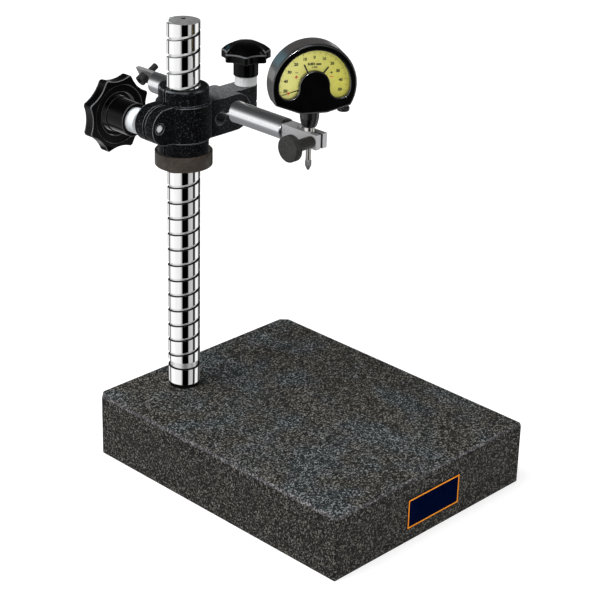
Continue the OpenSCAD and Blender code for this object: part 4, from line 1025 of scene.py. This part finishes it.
whole = (-FLOOR_REACH, FLOOR_REACH)
sheet("floor", rectangle(whole, whole, 0), pale_floor())
ways = np.linspace(0, 2 * np.pi, 48, endpoint=False)
card_outline = [(COLUMN_X * MM + CARD_REACH * math.cos(a), COLUMN_Y * MM + CARD_REACH * math.sin(a),
                 CARD_LEVEL) for a in ways]
arm_outline = (np.array(rectangle(UNDERLAY_X, UNDERLAY_Y, UNDERLAY_LEVEL)) * MM).tolist()
for card in (sheet("reflector_card", card_outline, reflector()), sheet("arm_card", arm_outline, underlay())):
    card.visible_camera = card.visible_diffuse = card.visible_shadow = False
    card.visible_transmission = card.visible_volume_scatter = False

# mirrors show the room rather than the dark pieces beside them
for name in ("carriage_body", "height_nut", "thrust_washer", "column_clamp_spacer", "column_clamp_stud",
             "arm_clamp_spacer", "arm_bar", "gauge_housing"):
    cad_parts[name].visible_glossy = False
for name in ("chrome_column", "clamp_knob", "star_knob", "thumb_screw", "front_cover"):
    bpy.data.objects[name].visible_glossy = False


def studio():
    """White room: white to the camera, even light on the object, and for mirrors a soft wall that darkens
    upwards, with a bright strip along the left, a cool panel behind and a small one overhead."""
    world = bpy.data.worlds.new("studio")
    bpy.context.scene.world = world
    world.use_nodes = True
    tree = world.node_tree
    tree.nodes.clear()
    path = node(tree, "LightPath").outputs
    way = node(tree, "TexCoord").outputs["Generated"]
    x, y, z = axes(tree, way)
    # degrees from the right over the top to the left, and the light that comes from there
    mirrors = greys(tree, calc(tree, "ARCTAN2", z, x), [(math.radians(d), v) for d, v in (
        (0, 0.13), (38, 0.11), (60, 0.06), (92, 0.06), (112, 0.08), (123, 0.1), (135, 0.2), (147, 0.55),
        (158, 1.05), (168, 1.25), (180, 1.25))])
    # each panel's direction, cosines where it starts and is full, colour
    for aim, start, full, colour in (((0.06, 0.97, 0.24), 0.972, 0.992, (0.3, 0.75, 0.95)),
                                     ((-0.3, -0.4, 0.87), 0.96, 0.99, (3.0, 3.1, 3.2))):
        near = dot(tree, way, Vector(aim).normalized())
        mirrors = blend(tree, span(tree, near, start, full, smooth=True), mirrors, colour)
    # a perfect mirror, such as the column, sees the card's strips go on above the card
    mirrors = blend(tree, path["Is Singular Ray"], mirrors, column_strips(tree, x, y))
    plain, shiny, white = (node(tree, "Background", {"Color": colour, "Strength": strength}).outputs[0]
                           for colour, strength in ((WHITE, 0.5), (mirrors, 1.0), (WHITE, 1.0)))
    light = node(tree, "MixShader", {0: path["Is Glossy Ray"], 1: plain, 2: shiny}).outputs[0]
    room = node(tree, "MixShader", {0: in_sight(tree, path), 1: light, 2: white}).outputs[0]
    tree.links.new(room, node(tree, "OutputWorld").inputs[0])


studio()


def lamp(name, place, aim, size, power, mirrored):
    """Square soft box at a place, turned to its aim; one that is not mirrored gives no highlights."""
    data = bpy.data.lights.new(name, "AREA")
    data.shape, data.size, data.energy = "SQUARE", size, power
    made = bpy.data.objects.new(name, data)
    made.location = place
    made.rotation_euler = (Vector(aim) - Vector(place)).to_track_quat("-Z", "Y").to_euler()
    made.visible_glossy = mirrored
    bpy.context.scene.collection.objects.link(made)


lamp("key_left", (-0.85, 0.42, 1.75), (0, 0, 0.12), 1.25, 48.0, False)
lamp("dial_lamp", (-0.62, -1.0, 0.5), (0, 0, 0.3), 0.12, 5.4, True)

yaw, pitch, roll = (math.radians(a) for a in (CAMERA_YAW, CAMERA_PITCH, CAMERA_ROLL))
ahead = Vector((math.sin(yaw) * math.cos(pitch), math.cos(yaw) * math.cos(pitch), -math.sin(pitch)))
right = Vector((math.cos(yaw), -math.sin(yaw), 0.0))
above = right.cross(ahead)
across = math.cos(roll) * right + math.sin(roll) * above
upward = -math.sin(roll) * right + math.cos(roll) * above
lens = bpy.data.cameras.new("camera")
lens.sensor_fit, lens.sensor_width, lens.lens = "HORIZONTAL", 36.0, CAMERA_LENS
camera = bpy.data.objects.new("camera", lens)
turn = Matrix((across, upward, -ahead)).transposed().to_4x4()
camera.matrix_world = Matrix.Translation(Vector(CAMERA_PLACE)) @ turn
bpy.context.scene.collection.objects.link(camera)
bpy.context.scene.camera = camera
bpy.context.scene.view_settings.view_transform = "Standard"
